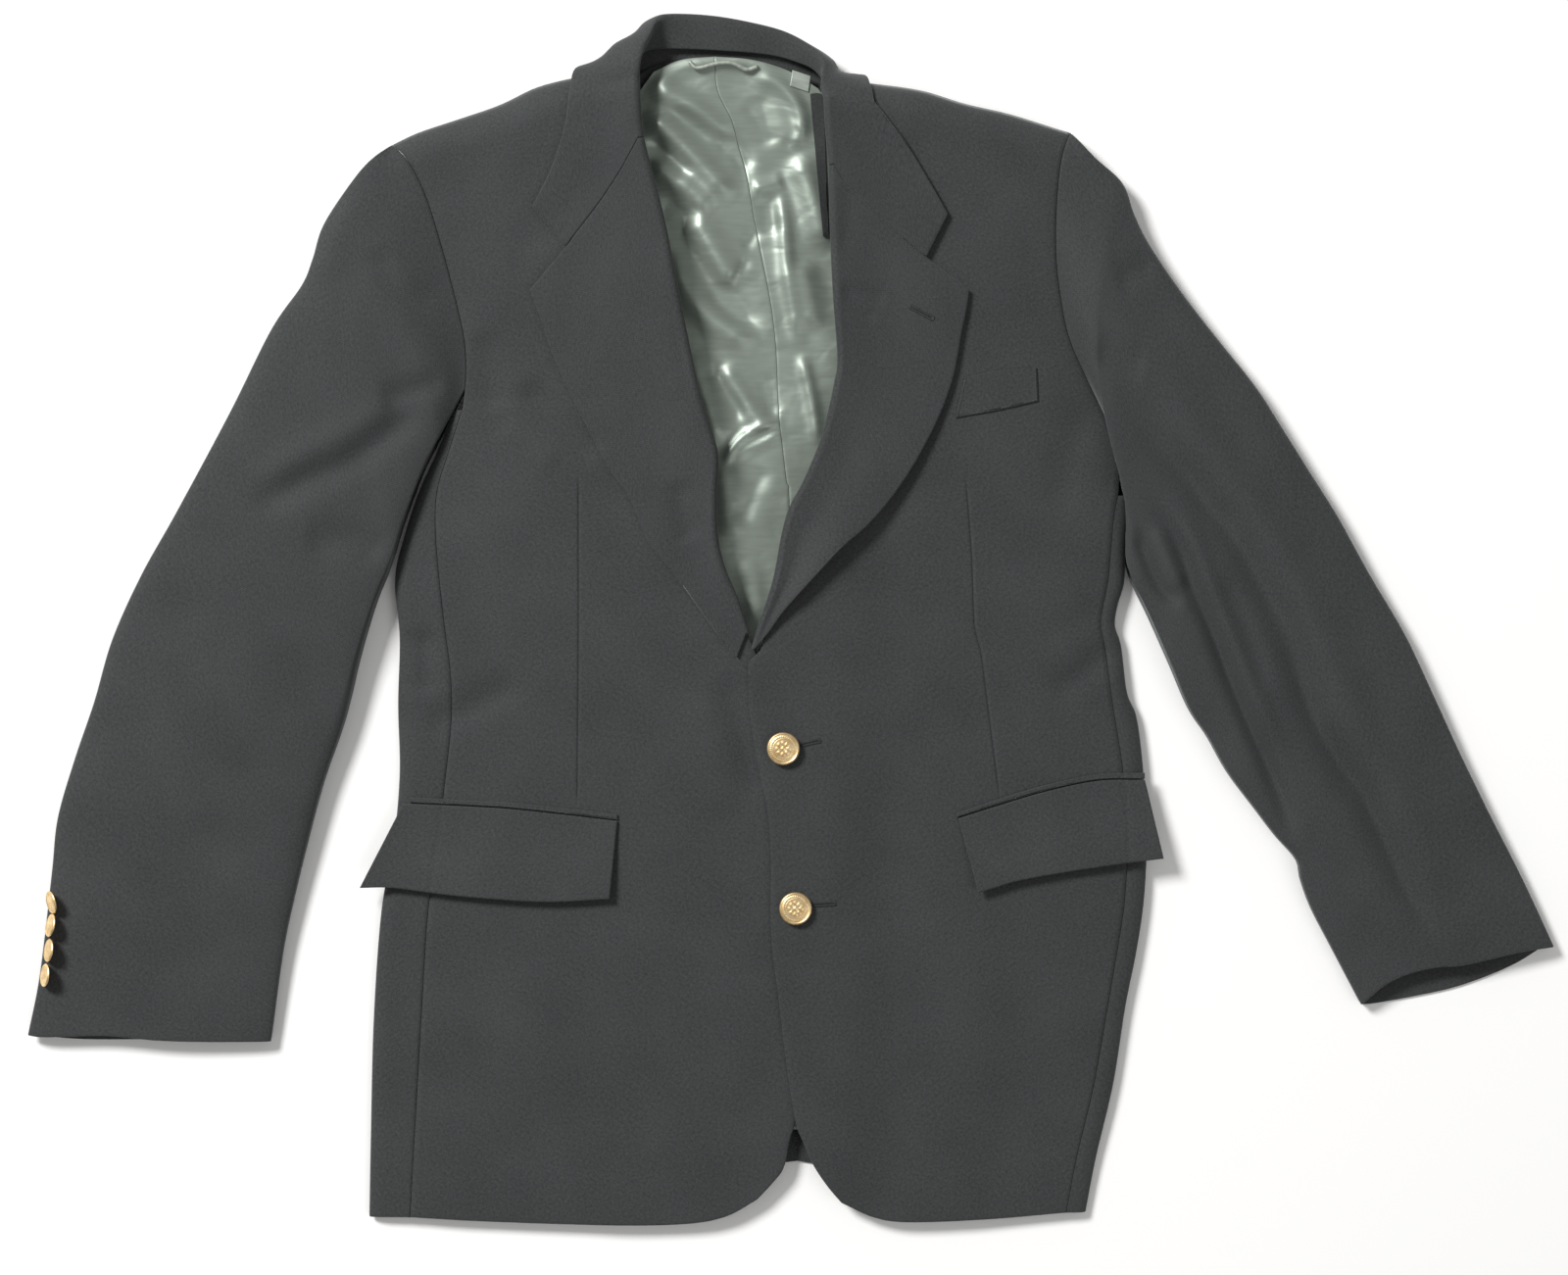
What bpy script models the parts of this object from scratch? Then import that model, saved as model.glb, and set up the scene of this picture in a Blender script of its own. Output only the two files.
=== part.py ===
"""Two-button blazer laid face up on a table, sleeves spread. Millimetres in the tables, metres out."""

import math

import bpy
import numpy as np

MM = 0.001
CLOTH = 2.0  # wall of the outer cloth with its interlining
BACK_CLOTH = 1.5
LINING = 1.0
HALF_GAP = 0.15  # each piece's share of the gap at a seam
LAYER_GAP = 0.5  # air between a leaf and the cloth that it lies on

# Outlines in the plane of the table: x to the wearer's left, y to the collar. Each runs hem or cuff to neck.
RIGHT_SIDE = [(-276, -391), (-275, -338), (-273, -261), (-268, -191), (-260, -146), (-256, -101),
              (-257, -56), (-256, -12), (-259, 26), (-253, 54), (-243, 84), (-230, 113), (-220, 140)]
RIGHT_SEAM = [(-249, -391), (-245, -321), (-241, -253), (-237, -191), (-231, -152), (-227, -116),
              (-222, -69), (-222, -37), (-226, -5), (-230, 31), (-232, 59), (-231, 84), (-223, 110),
              (-214, 138)]
LEFT_SIDE = [(193, -387), (200, -351), (211, -304), (219, -253), (226, -218), (231, -184), (233, -146),
             (232, -123), (230, -92), (226, -63), (220, -48), (216, -17), (212, -4), (214, 10),
             (218, 24), (219, 46), (221, 68), (220, 81)]
LEFT_SEAM = [(180, -388), (187, -351), (198, -304), (207, -253), (213, -218), (218, -184), (220, -146),
             (219, -123), (216, -92), (211, -61), (208, -40), (205, -17), (202, -4), (204, 10),
             (207, 24), (209, 46), (211, 68), (214, 82)]
RIGHT_ARMHOLE = [(-214, 138), (-212, 159), (-213, 182), (-219, 210), (-228, 244), (-238, 276), (-249, 298),
                 (-260, 310)]
LEFT_ARMHOLE = [(214, 82), (214, 108), (204, 135), (192, 159), (182, 182), (177, 203), (173, 234),
                (173, 268), (176, 299), (182, 318)]
RIGHT_SHOULDER = [(-260, 310), (-243, 318), (-216, 327), (-190, 336), (-167, 347), (-145, 353), (-128, 356),
                  (-110, 360)]
LEFT_SHOULDER = [(182, 318), (175, 320), (143, 330), (113, 337), (87, 345), (61, 349), (36, 351)]
RIGHT_ROLL = [(-11, -37), (-23, -7), (-34, 13), (-42, 32), (-47, 52), (-48, 80), (-47, 106), (-52, 125),
              (-59, 148), (-68, 190), (-75, 225), (-81, 256), (-89, 288), (-95, 312)]
RIGHT_NECK_EDGE = [(-95, 312), (-97, 332), (-98, 350)]
LEFT_ROLL = [(-28, -28), (-22, -6), (-12, 25), (-6, 56), (-1, 73), (8, 90), (19, 116), (24, 135),
             (28, 154), (30, 170), (27, 212), (25, 257), (24, 294)]
LEFT_NECK_EDGE = [(24, 294), (22, 318), (21, 338)]
RIGHT_LAPEL = [(-4, -47), (-32, -26), (-48, -10), (-76, 29), (-93, 51), (-105, 79), (-119, 99), (-134, 128),
               (-146, 152), (-155, 172), (-163, 196), (-170, 214)]
LEFT_LAPEL = [(-26, -26), (-4, 6), (16, 28), (33, 46), (50, 61), (64, 77), (76, 94), (86, 111), (96, 131),
              (104, 152), (108, 169), (111, 186), (114, 200), (116, 214)]
RIGHT_EDGE = [(-22, -379), (-10, -366), (-4, -357), (-1, -341), (3, -328), (10, -300), (17, -248), (21, -188),
              (19, -140), (15, -84), (5, -53), (-11, -37)]
LEFT_EDGE = [(33, -381), (23, -369), (14, -355), (8, -341), (3, -328), (-3, -290), (-8, -248), (-13, -204),
             (-13, -159), (-15, -127), (-22, -92), (-27, -60), (-28, -28)]
RIGHT_HEM = [(-249, -391), (-190, -394), (-115, -396), (-68, -395), (-42, -390), (-22, -379)]
LEFT_HEM = [(180, -388), (132, -392), (79, -394), (55, -391), (33, -381)]
RIGHT_GORGE = [(-95, 312), (-110, 292), (-124, 271), (-141, 249), (-146, 242)]
LEFT_GORGE = [(24, 294), (33, 285), (47, 273), (65, 254), (88, 235)]
RIGHT_TIP, RIGHT_COLLAR_TIP = (-170, 214), (-168, 268)
LEFT_TIP, LEFT_COLLAR_TIP = (116, 214), (102, 263)
RIGHT_SLEEVE_IN = [(-222, 139), (-233, 114), (-246, 86), (-256, 56), (-262, 33), (-271, 10), (-281, -24),
                   (-291, -65), (-305, -106), (-315, -143), (-325, -184), (-332, -218), (-340, -276)]
RIGHT_SLEEVE_OUT = [(-262, 309), (-281, 292), (-304, 259), (-312, 235), (-319, 218), (-339, 189), (-366, 135),
                    (-401, 70), (-424, 29), (-443, -13), (-455, -54), (-468, -92), (-479, -130),
                    (-483, -166), (-491, -232), (-499, -272)]
LEFT_SLEEVE_IN = [(223, 81), (225, 68), (224, 49), (223, 33), (226, 19), (236, -3), (248, -31), (260, -59),
                  (272, -77), (285, -100), (303, -124), (316, -141), (330, -157), (333, -170), (340, -189),
                  (354, -216), (364, -235), (373, -252)]
LEFT_SLEEVE_OUT = [(184, 317), (197, 302), (216, 285), (224, 264), (234, 244), (255, 213), (279, 182),
                   (303, 152), (323, 121), (340, 94), (357, 67), (378, 29), (401, -10), (419, -48),
                   (436, -85), (456, -126), (474, -161), (487, -188), (499, -214)]
RIGHT_CUFF = [(-340, -276), (-380, -276), (-414, -275), (-448, -272), (-486, -273), (-499, -272)]
RIGHT_CUFF_UNDER = [(-340, -277), (-380, -278), (-431, -279), (-465, -279), (-488, -277), (-498, -273)]
LEFT_CUFF = [(373, -252), (388, -239), (405, -231), (424, -227), (439, -226), (474, -218), (499, -214)]
LEFT_CUFF_UNDER = [(373, -252), (378, -254), (405, -250), (439, -243), (474, -230), (499, -215)]
LINING_CENTRE = [(6, -334), (2, -200), (-2, -60), (-1, 73), (-3, 92), (-8, 137), (-10, 180), (-14, 211),
                 (-24, 262), (-29, 291), (-35, 312), (-39, 327), (-48, 346), (-50, 368)]
BACK_CENTRE = [(4, -355), (0, -236), (-4, -108), (-6, 20), (-10, 148), (-22, 276), (-38, 368)]

# Height of the body's upper surface: y, at the side fold, at the middle.
BODY_HEIGHT = [(-400, 7, 10), (-300, 9, 12), (-180, 10, 15), (-60, 10, 17), (60, 11, 20), (180, 14, 23),
               (280, 18, 25), (400, 20, 26)]
BODY_SHAPE = 2.4  # power of the rise from side to middle
SHOULDER_FOLD = 22.0
SHOULDER_EDGE = 9.0  # height of the folded shoulder's edge
SIDE_FOLD = 12.0
UNDER_SIDE, UNDER_TOP, UNDER_TAPER = 47.0, 5.0, 120.0  # side panel's width beneath, low and at the armhole
LAP_LIFT = 3.0  # how much higher the left front lies where it laps over the right
LAP_FADE, LAP_WIDTH = 70.0, 45.0  # x where the lift ends, and the width over which it grows
LAP_FOOT, LAP_RISE = -421.0, 60.0  # the same along y, so that the hem stays low
ROLL_RADIUS = 4.0
FRONT_STATIONS, FRONT_COLUMNS = 34, 12


def spline(points, count=None, at=None):
    """Points along a smooth curve, at even steps or at the given shares of its length."""
    pts = np.array(points, float)
    ends = np.vstack([2 * pts[0] - pts[1], pts, 2 * pts[-1] - pts[-2]])
    t = np.linspace(0, 1, 12, endpoint=False)[:, None]
    rows = []
    for p0, p1, p2, p3 in zip(ends[:-3], ends[1:-2], ends[2:-1], ends[3:]):
        rows.append(0.5 * (2 * p1 + (p2 - p0) * t + (2 * p0 - 5 * p1 + 4 * p2 - p3) * t**2
                           + (3 * p1 - p0 - 3 * p2 + p3) * t**3))
    dense = np.vstack(rows + [pts[-1:]])
    return along(dense, np.linspace(0, 1, count) if at is None else at)


def run_along(line):
    """Length of the line up to each of its points."""
    return np.concatenate([[0], np.cumsum(np.linalg.norm(np.diff(line, axis=0), axis=1))])


def along(line, shares):
    """Points at the given shares of a line's length."""
    line = np.asarray(line, float)
    run = run_along(line)
    wanted = np.asarray(shares) * run[-1]
    return np.stack([np.interp(wanted, run, values) for values in line.T], 1)


def joined(*lines):
    """Several curves end to end, each sampled finely."""
    parts = [spline(line, 60) for line in lines]
    return np.vstack([parts[0]] + [part[1:] for part in parts[1:]])


def coons(start, end, left, right):
    """Grid between four curves: start and end run across, left and right run along."""
    u = run_along(start)
    u = (u / u[-1])[None, :, None]
    v = run_along(left)
    v = (v / v[-1])[:, None, None]
    flat = (1 - v) * ((1 - u) * start[0] + u * start[-1]) + v * ((1 - u) * end[0] + u * end[-1])
    return (1 - u) * left[:, None] + u * right[:, None] + (1 - v) * start[None] + v * end[None] - flat


def distance(xy, line):
    """Distance from each point to a finely sampled curve."""
    flat = xy.reshape(-1, 2)
    near = np.sqrt(((flat[:, None] - line[None]) ** 2).sum(2)).min(1)
    return near.reshape(xy.shape[:-1])


def smooth(x):
    x = np.clip(x, 0, 1)
    return x * x * (3 - 2 * x)


def column(table, y, which):
    rows = np.array(table, float)
    return np.interp(y, rows[:, 0], rows[:, which])


RIGHT_LIMIT = joined(RIGHT_SIDE, RIGHT_ARMHOLE)
LEFT_LIMIT = joined(LEFT_SIDE, LEFT_ARMHOLE)
SHOULDERS = np.vstack([spline(RIGHT_SHOULDER, 80), spline(LEFT_SHOULDER, 80)])


def by_height(line, y):
    order = np.argsort(line[:, 1])
    return np.interp(y, line[order, 1], line[order, 0])


def body_height(xy):
    """Upper surface of the body: low at the sides, higher to the middle, folded down at the shoulders."""
    x, y = xy[..., 0], xy[..., 1]
    low, high = by_height(RIGHT_LIMIT, y), by_height(LEFT_LIMIT, y)
    place = np.clip((x - low) / (high - low), 0, 1)
    side, middle = column(BODY_HEIGHT, y, 1), column(BODY_HEIGHT, y, 2)
    top = side + (middle - side) * (1 - np.abs(2 * place - 1) ** BODY_SHAPE)
    fold = np.clip(distance(xy, SHOULDERS) / SHOULDER_FOLD, 0, 1)
    return SHOULDER_EDGE + (top - SHOULDER_EDGE) * np.sqrt(1 - (1 - fold) ** 2)


def lap(xy):
    """Extra height of the left front where it lies over the right."""
    x, y = xy[..., 0], xy[..., 1]
    return LAP_LIFT * smooth((LAP_FADE - x) / LAP_WIDTH) * smooth((y - LAP_FOOT) / LAP_RISE)


def deep(grid, z):
    return np.concatenate([grid, np.asarray(z)[..., None]], -1)


def normals(grid):
    across = np.gradient(grid, axis=1)
    lengthwise = np.gradient(grid, axis=0)
    n = np.cross(across, lengthwise)
    return n / np.linalg.norm(n, axis=2, keepdims=True)


def inset(grid, sides=(1, 1, 1, 1), by=HALF_GAP):
    """The grid drawn back from its neighbours by half a seam gap: start, end, left, right."""
    grid = grid.copy()
    for on, at, inner in zip(sides, ((0,), (-1,), (slice(None), 0), (slice(None), -1)),
                             ((1,), (-2,), (slice(None), 1), (slice(None), -2))):
        if on:
            step = grid[inner] - grid[at]
            grid[at] = grid[at] + by * step / np.linalg.norm(step, axis=-1, keepdims=True)
    return grid


def add_mesh(name, points, faces, material):
    mesh = bpy.data.meshes.new(name)
    mesh.from_pydata([tuple(p) for p in np.asarray(points) * MM], [], faces)
    mesh.materials.append(material)
    for polygon in mesh.polygons:
        polygon.use_smooth = True
    obj = bpy.data.objects.new(name, mesh)
    bpy.context.scene.collection.objects.link(obj)
    return obj


def wall(name, outer, inner, material):
    """Closed body between two grids of points, with its faces turned out."""
    rows, columns = outer.shape[:2]
    size = rows * columns

    def at(i, j):
        return i * columns + j

    faces = []
    for i in range(rows - 1):
        for j in range(columns - 1):
            quad = (at(i, j), at(i, j + 1), at(i + 1, j + 1), at(i + 1, j))
            faces.append(quad)
            faces.append(tuple(size + k for k in reversed(quad)))
    rim = [at(0, j) for j in range(columns)] + [at(i, columns - 1) for i in range(1, rows)]
    rim += [at(rows - 1, j) for j in range(columns - 2, -1, -1)] + [at(i, 0) for i in range(rows - 2, 0, -1)]
    for a, b in zip(rim, rim[1:] + rim[:1]):
        faces.append((b, a, size + a, size + b))
    points = np.vstack([outer.reshape(-1, 3), inner.reshape(-1, 3)])
    corners = points[np.array(faces)]
    volume = np.einsum("ij,ij->i", corners[:, 0], np.cross(corners[:, 1], corners[:, 2])).sum()
    volume += np.einsum("ij,ij->i", corners[:, 0], np.cross(corners[:, 2], corners[:, 3])).sum()
    if volume < 0:
        faces = [tuple(reversed(f)) for f in faces]
    return add_mesh(name, points, faces, material)


def material(name, colour, rough, metal=0.0, sheen=0.0):
    mat = bpy.data.materials.new(name)
    mat.use_nodes = True
    shader = mat.node_tree.nodes["Principled BSDF"]
    shader.inputs["Base Color"].default_value = (*colour, 1)
    shader.inputs["Roughness"].default_value = rough
    shader.inputs["Metallic"].default_value = metal
    shader.inputs["Sheen Weight"].default_value = sheen
    mat.diffuse_color = (*colour, 1)
    return mat


for old in list(bpy.data.objects):
    bpy.data.objects.remove(old, do_unlink=True)

WOOL = material("charcoal_wool", (0.060, 0.063, 0.063), 0.85, sheen=0.3)
SATIN = material("satin_lining", (0.17, 0.20, 0.17), 0.35, sheen=0.2)
CORD = material("satin_cord", (0.24, 0.27, 0.23), 0.4)
LABEL = material("label_weave", (0.30, 0.33, 0.29), 0.6)
GOLD = material("button_gold", (0.72, 0.50, 0.22), 0.3, metal=1.0)


def solid(name, outer, thickness, stuff, flip=1):
    """Wall with its outer face on the grid and its thickness inward."""
    return wall(name, outer, outer - flip * thickness * normals(outer), stuff)


def sheet(name, flat, heights, thickness, stuff, inward, level=0):
    """Wall over a flat grid, with its thickness down (inward -1) or up (1).

    Level holds, point by point, how far the wall's direction is turned into the horizontal, as on an edge
    that meets its neighbour over a fold."""
    outer = deep(flat, heights)
    up = normals(outer)
    up *= np.sign(np.median(up[..., 2]))
    up[(up[..., 2] <= 0.02) & (level < 0.5 + np.zeros(up.shape[:2]))] = (0, 0, 1)
    up[..., 2] *= 1 - level
    up /= np.linalg.norm(up, axis=2, keepdims=True)
    return wall(name, outer, outer + inward * thickness * up, stuff)


def level_at(grid, start=0, end=0, left=0, right=0):
    """Level shares for sheet(), one for each side of the grid."""
    level = np.zeros(grid.shape[:2])
    level[:, 0] = np.maximum(level[:, 0], left)
    level[:, -1] = np.maximum(level[:, -1], right)
    level[0] = np.maximum(level[0], start)
    level[-1] = np.maximum(level[-1], end)
    return level


def offset_line(line, by):
    """Curve moved sideways: to its left for a positive amount."""
    step = np.gradient(line, axis=0)
    step /= np.linalg.norm(step, axis=1, keepdims=True)
    return line + by * np.stack([-step[:, 1], step[:, 0]], 1)


def shares_near_end(count, last=(0.955, 0.972, 0.984, 0.993, 1.0)):
    """Even stations, then closer ones where the cloth turns over the shoulder."""
    return np.concatenate([np.linspace(0, 0.93, count - len(last)), last])


# Fronts
ROWS = shares_near_end(FRONT_STATIONS)
ACROSS = np.linspace(0, 1, FRONT_COLUMNS + 1)
ROLL_CLEAR = ROLL_RADIUS + 1.7  # the front stops here, short of the cloth that rolls round its edge


def front_grid(side, seam, armhole, edge, roll, neck, hem, shoulder):
    outer = along(joined(seam, armhole), ROWS)
    rolled = offset_line(spline(roll + neck[1:], 80), side * ROLL_CLEAR)
    inner = along(np.vstack([spline(edge, 60), rolled[2:], shoulder[-1:]]), ROWS)
    return coons(spline(hem, at=ACROSS), spline(shoulder, at=ACROSS), outer, inner)


right_front = front_grid(1, RIGHT_SEAM, RIGHT_ARMHOLE, RIGHT_EDGE, RIGHT_ROLL, RIGHT_NECK_EDGE, RIGHT_HEM,
                         RIGHT_SHOULDER)
left_front = front_grid(-1, LEFT_SEAM, LEFT_ARMHOLE, LEFT_EDGE, LEFT_ROLL, LEFT_NECK_EDGE, LEFT_HEM,
                        LEFT_SHOULDER)
for name, grid, lift in (("front_right", right_front, 0), ("front_left", left_front, 1)):
    drawn = inset(grid)
    level = level_at(drawn, end=smooth(3 - distance(drawn[-1], SHOULDERS)))
    sheet(name, drawn, body_height(drawn) + HALF_GAP + lift * lap(drawn), CLOTH, WOOL, -1, level)

# Side panels, from the front seam over the folded side to the back seam beneath
ARC = np.radians(np.linspace(90, -90, 8))
SEAM_BEND = 5  # power of the smooth line that the back seam follows
SIDE_SHARE = 0.75  # most of the way from fold to seam that the fold's radius takes


def side_stations(fold, seam, front, inward):
    """Rows up the side, on the front's own rows: y, fold x, seam x, fold radius and the back seam's x."""
    fold = spline(fold, 200)
    rows = front[front[:, 1] <= seam[-1][1] + 0.5]
    y, sewn = rows[:, 1], rows[:, 0]
    edge = by_height(fold, y)
    radius = np.minimum(SIDE_FOLD, SIDE_SHARE * np.abs(sewn - edge))
    under = UNDER_TOP + (UNDER_SIDE - UNDER_TOP) * (1 - smooth((y - y[-1]) / UNDER_TAPER + 1))
    scaled = y / 400
    back = np.polyval(np.polyfit(scaled, edge + inward * (radius + under), SEAM_BEND), scaled)
    return y, edge, sewn, radius, back


def side_panel(name, fold, seam, front, inward, flip):
    rows = []
    for y, edge, sewn, radius, back in zip(*side_stations(fold, seam, front[:, 0], inward)):
        turn = edge + inward * radius
        xs = np.linspace(sewn - inward * HALF_GAP, turn, 4)[:-1]
        tops = body_height(np.stack([xs, np.full(3, y)], 1))
        high = float(body_height(np.array([[turn, y]]))[0])
        path = [(x, z) for x, z in zip(xs, tops)]
        path += [(turn - inward * radius * math.cos(a), high / 2 * (1 + math.sin(a))) for a in ARC]
        path += [(turn + (back - turn) * k / 3, 0) for k in (1, 2, 3)]
        rows.append([(x, y, z + (HALF_GAP if z > high / 2 else 0)) for x, z in path])
    solid(name, np.array(rows), CLOTH, WOOL, flip)


side_panel("side_right", RIGHT_SIDE, RIGHT_SEAM, right_front, 1, -1)
side_panel("side_left", LEFT_SIDE, LEFT_SEAM, left_front, -1, 1)

# Backs
BACK_ACROSS = np.linspace(0, 1, 5)
BACK_CLEAR = 0.5  # more room at the back seam, where the two pieces' facets bend apart
NECK_RAISE = 2.6  # room under the back for the collar's fall
NECK_REACH, NECK_FADE = 75.0, 22.0  # how far from the neck it is raised, and how softly
NECK_POINTS = spline([(-120, 366), (-98, 385), (-45, 388), (3, 374), (34, 362)], 40)


def back_height(xy):
    """Underside of the back: on the table, raised over the collar's fall, folded up at the shoulders."""
    raised = NECK_RAISE * smooth((NECK_REACH - distance(xy, NECK_POINTS)) / NECK_FADE)
    fold = np.clip(distance(xy, SHOULDERS) / SHOULDER_FOLD, 0, 1)
    return raised + (SHOULDER_EDGE - raised) * (1 - np.sqrt(1 - (1 - fold) ** 2))


def back_grid(fold, seam, front, inward, hem, shoulder, neck_end):
    y, _, _, _, back = side_stations(fold, seam, front[:, 0], inward)
    outer = front[:, 0].copy()
    outer[: len(y), 0] = back
    top = along(np.vstack([spline(shoulder[:-1], 40), spline(neck_end, 20)[1:]]), BACK_ACROSS)
    bottom = spline([tuple(outer[0]), *hem], at=BACK_ACROSS)
    return coons(bottom, top, outer, spline(BACK_CENTRE, at=ROWS))


right_back = back_grid(RIGHT_SIDE, RIGHT_SEAM, right_front, 1, [(-130, -371), (4, -355)], RIGHT_SHOULDER,
                       [(-128, 356), (-113, 350), (-90, 362), (-60, 368), (-38, 368)])
left_back = back_grid(LEFT_SIDE, LEFT_SEAM, left_front, -1, [(90, -367), (4, -355)], LEFT_SHOULDER,
                      [(61, 349), (40, 338), (20, 342), (-12, 362), (-38, 368)])
for name, grid in (("back_right", right_back), ("back_left", left_back)):
    drawn = inset(inset(grid), (0, 0, 1, 0), BACK_CLEAR)
    level = level_at(drawn, end=smooth(3 - distance(drawn[-1], SHOULDERS)))
    sheet(name, drawn, np.maximum(back_height(drawn) - HALF_GAP, 0), BACK_CLOTH, WOOL, 1, level)

# Sleeves: flattened tubes in two pieces that meet on both folded edges
SLEEVE_ROWS = np.concatenate([[0, 0.018, 0.04], np.linspace(0.07, 1, 20)])
ROUND = (1 - np.cos(np.pi * np.linspace(0, 1, 13))) / 2
UNDER_ROUND = (1 - np.cos(np.pi * np.linspace(0, 1, 9))) / 2
# share of the length, height, bluntness of the top
SLEEVE_HEIGHT = [(0.0, 24, 2.6), (0.15, 25, 2.8), (0.4, 22, 3.0), (0.7, 18, 3.2), (0.9, 14, 3.4),
                 (1.0, 12, 3.4)]
UNDER_BLUNT = 8.0
ARMHOLE_GAP = 0.4  # wider than a straight seam: the two pieces' facets bend apart along the armhole's curve


def sleeve_grid(start, end, inside, outside, across):
    return coons(along(start, across), spline(end, at=across), spline(inside, at=SLEEVE_ROWS),
                 spline(outside, at=SLEEVE_ROWS))


def ring_shape(u, v):
    """Across a sleeve: how far each piece has left the armhole, the tube's upper side and its underside."""
    high, blunt = column(SLEEVE_HEIGHT, v, 1), column(SLEEVE_HEIGHT, v, 2)
    middle = high / 2 + (SHOULDER_EDGE - high / 2) * (1 - smooth(v / 0.1)) * smooth((u - 0.6) / 0.3)
    ring = middle + (high - middle) * (1 - np.abs(2 * u - 1) ** blunt) ** (1 / blunt)
    floor = middle * (1 - (1 - np.abs(2 * u - 1) ** UNDER_BLUNT) ** (1 / UNDER_BLUNT))
    return smooth(v / 0.09), ring, floor


def sleeve(name, side, armhole, inside, outside, cuff, cuff_under):
    arm = offset_line(armhole, side * ARMHOLE_GAP)
    arm = np.vstack([inside[:1], arm[arm[:, 1] > inside[0][1] + 8]])
    v = SLEEVE_ROWS[:, None]
    top = sleeve_grid(arm, cuff, inside, outside, ROUND)
    blend, ring, _ = ring_shape(ROUND[None], v)
    high = (1 - blend) * body_height(top) + blend * ring + HALF_GAP
    sheet(f"sleeve_{name}_top", top, high, CLOTH, WOOL, -1, level_at(top, left=blend[:, 0], right=1))
    under = sleeve_grid(arm, cuff_under, inside, outside, UNDER_ROUND)
    blend, _, floor = ring_shape(UNDER_ROUND[None], v)
    low = np.maximum((1 - blend) * back_height(under) + blend * floor - HALF_GAP, 0)
    sheet(f"sleeve_{name}_under", under, low, BACK_CLOTH, WOOL, 1, level_at(under, left=blend[:, 0], right=1))


sleeve("right", 1, right_front[:, 0], RIGHT_SLEEVE_IN, RIGHT_SLEEVE_OUT, RIGHT_CUFF, RIGHT_CUFF_UNDER)
sleeve("left", -1, left_front[:, 0], LEFT_SLEEVE_IN, LEFT_SLEEVE_OUT, LEFT_CUFF, LEFT_CUFF_UNDER)

# Lapels and collar: cloth that rolls over the neck's edge and lies back on the front
ROLL_ARC = np.radians(np.linspace(-90, 90, 6))
LEAF = np.linspace(0, 1, 8)
LEAF_RISE = 2 * (ROLL_RADIUS - CLOTH) - LAYER_GAP  # how much higher the leaf is at the roll than at its edge
GORGE_GAP = 0.3


def leaf_grid(roll, shares, edge, start, end, side, lapped, rows, lift=((0, 0), (1, 0)), clear=0.0):
    """Rows up part of a roll line. Each goes from beneath, round the roll, and over the front to the edge."""
    whole = spline(roll, 120)
    shares = np.linspace(*shares, rows)
    roll, turned = along(whole, shares), along(offset_line(whole, side * ROLL_RADIUS), shares)
    away = (turned - roll) / np.linalg.norm(turned - roll, axis=1, keepdims=True)
    turned = roll + away * ROLL_RADIUS
    base = body_height(turned) + HALF_GAP + lapped * lap(turned)
    arc = [deep(roll + away * ROLL_RADIUS * (1 - math.cos(a)), base - CLOTH + ROLL_RADIUS * (1 + math.sin(a)))
           for a in ROLL_ARC]
    flat = coons(along(np.vstack([turned[:1], start]), LEAF), along(np.vstack([turned[-1:], end]), LEAF),
                 turned, spline(edge, rows))
    places = np.linspace(0, 1, rows)[:, None]
    lift = np.array(lift, float)
    rise = LEAF_RISE * (1 - LEAF[None]) ** 1.5
    rise = rise + (clear + np.interp(places, lift[:, 0], lift[:, 1])) * smooth(LEAF[None] * 1.3 - 0.3)
    high = body_height(flat) + HALF_GAP + lapped * lap(flat) + CLOTH + LAYER_GAP + rise
    return np.concatenate([np.stack(arc, 1), deep(flat, high)[:, 1:]], 1)


def rolled_solid(name, grid, stuff, flip):
    """The lapels and the collar, drawn back from each other at the gorge."""
    solid(name, inset(grid, (1, 1, 0, 0), GORGE_GAP), CLOTH, stuff, flip)


# The lapels begin where there is width for the roll, and both they and the collar share one roll line a side
RIGHT_LINE = [(-24, -6), (-34, 13)] + RIGHT_ROLL[3:] + RIGHT_NECK_EDGE[1:]
LEFT_LINE = [(-24, -14), (-12, 25)] + LEFT_ROLL[3:] + LEFT_NECK_EDGE[1:]
LAPEL_ROWS = 16
LEFT_LIFT = [(0, 2), (0.15, 6), (0.35, 4), (0.6, 2), (1, 0.5)]


def share_of(line, point):
    """How far up a roll line a point lies."""
    dense = spline(line, 400)
    return float(np.argmin(((dense - np.array(point, float)) ** 2).sum(1))) / 399


RIGHT_SHARE, LEFT_SHARE = share_of(RIGHT_LINE, RIGHT_ROLL[-1]), share_of(LEFT_LINE, LEFT_ROLL[-1])
RIGHT_FOOT, LEFT_FOOT = (-37, -22), (-9, -3)  # lower ends of the lapels' outer edges
right_lapel = leaf_grid(RIGHT_LINE, (0, RIGHT_SHARE), [RIGHT_FOOT, *RIGHT_LAPEL[2:]], [RIGHT_FOOT],
                        spline(RIGHT_GORGE[1:] + [RIGHT_TIP], 20), 1, 0, LAPEL_ROWS)
left_lapel = leaf_grid(LEFT_LINE, (0, LEFT_SHARE), [LEFT_FOOT, *LEFT_LAPEL[1:]], [LEFT_FOOT],
                       spline(LEFT_GORGE[1:] + [LEFT_TIP], 20), -1, 1, LAPEL_ROWS, LEFT_LIFT)
rolled_solid("lapel_right", right_lapel, WOOL, -1)
rolled_solid("lapel_left", left_lapel, WOOL, 1)

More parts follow.
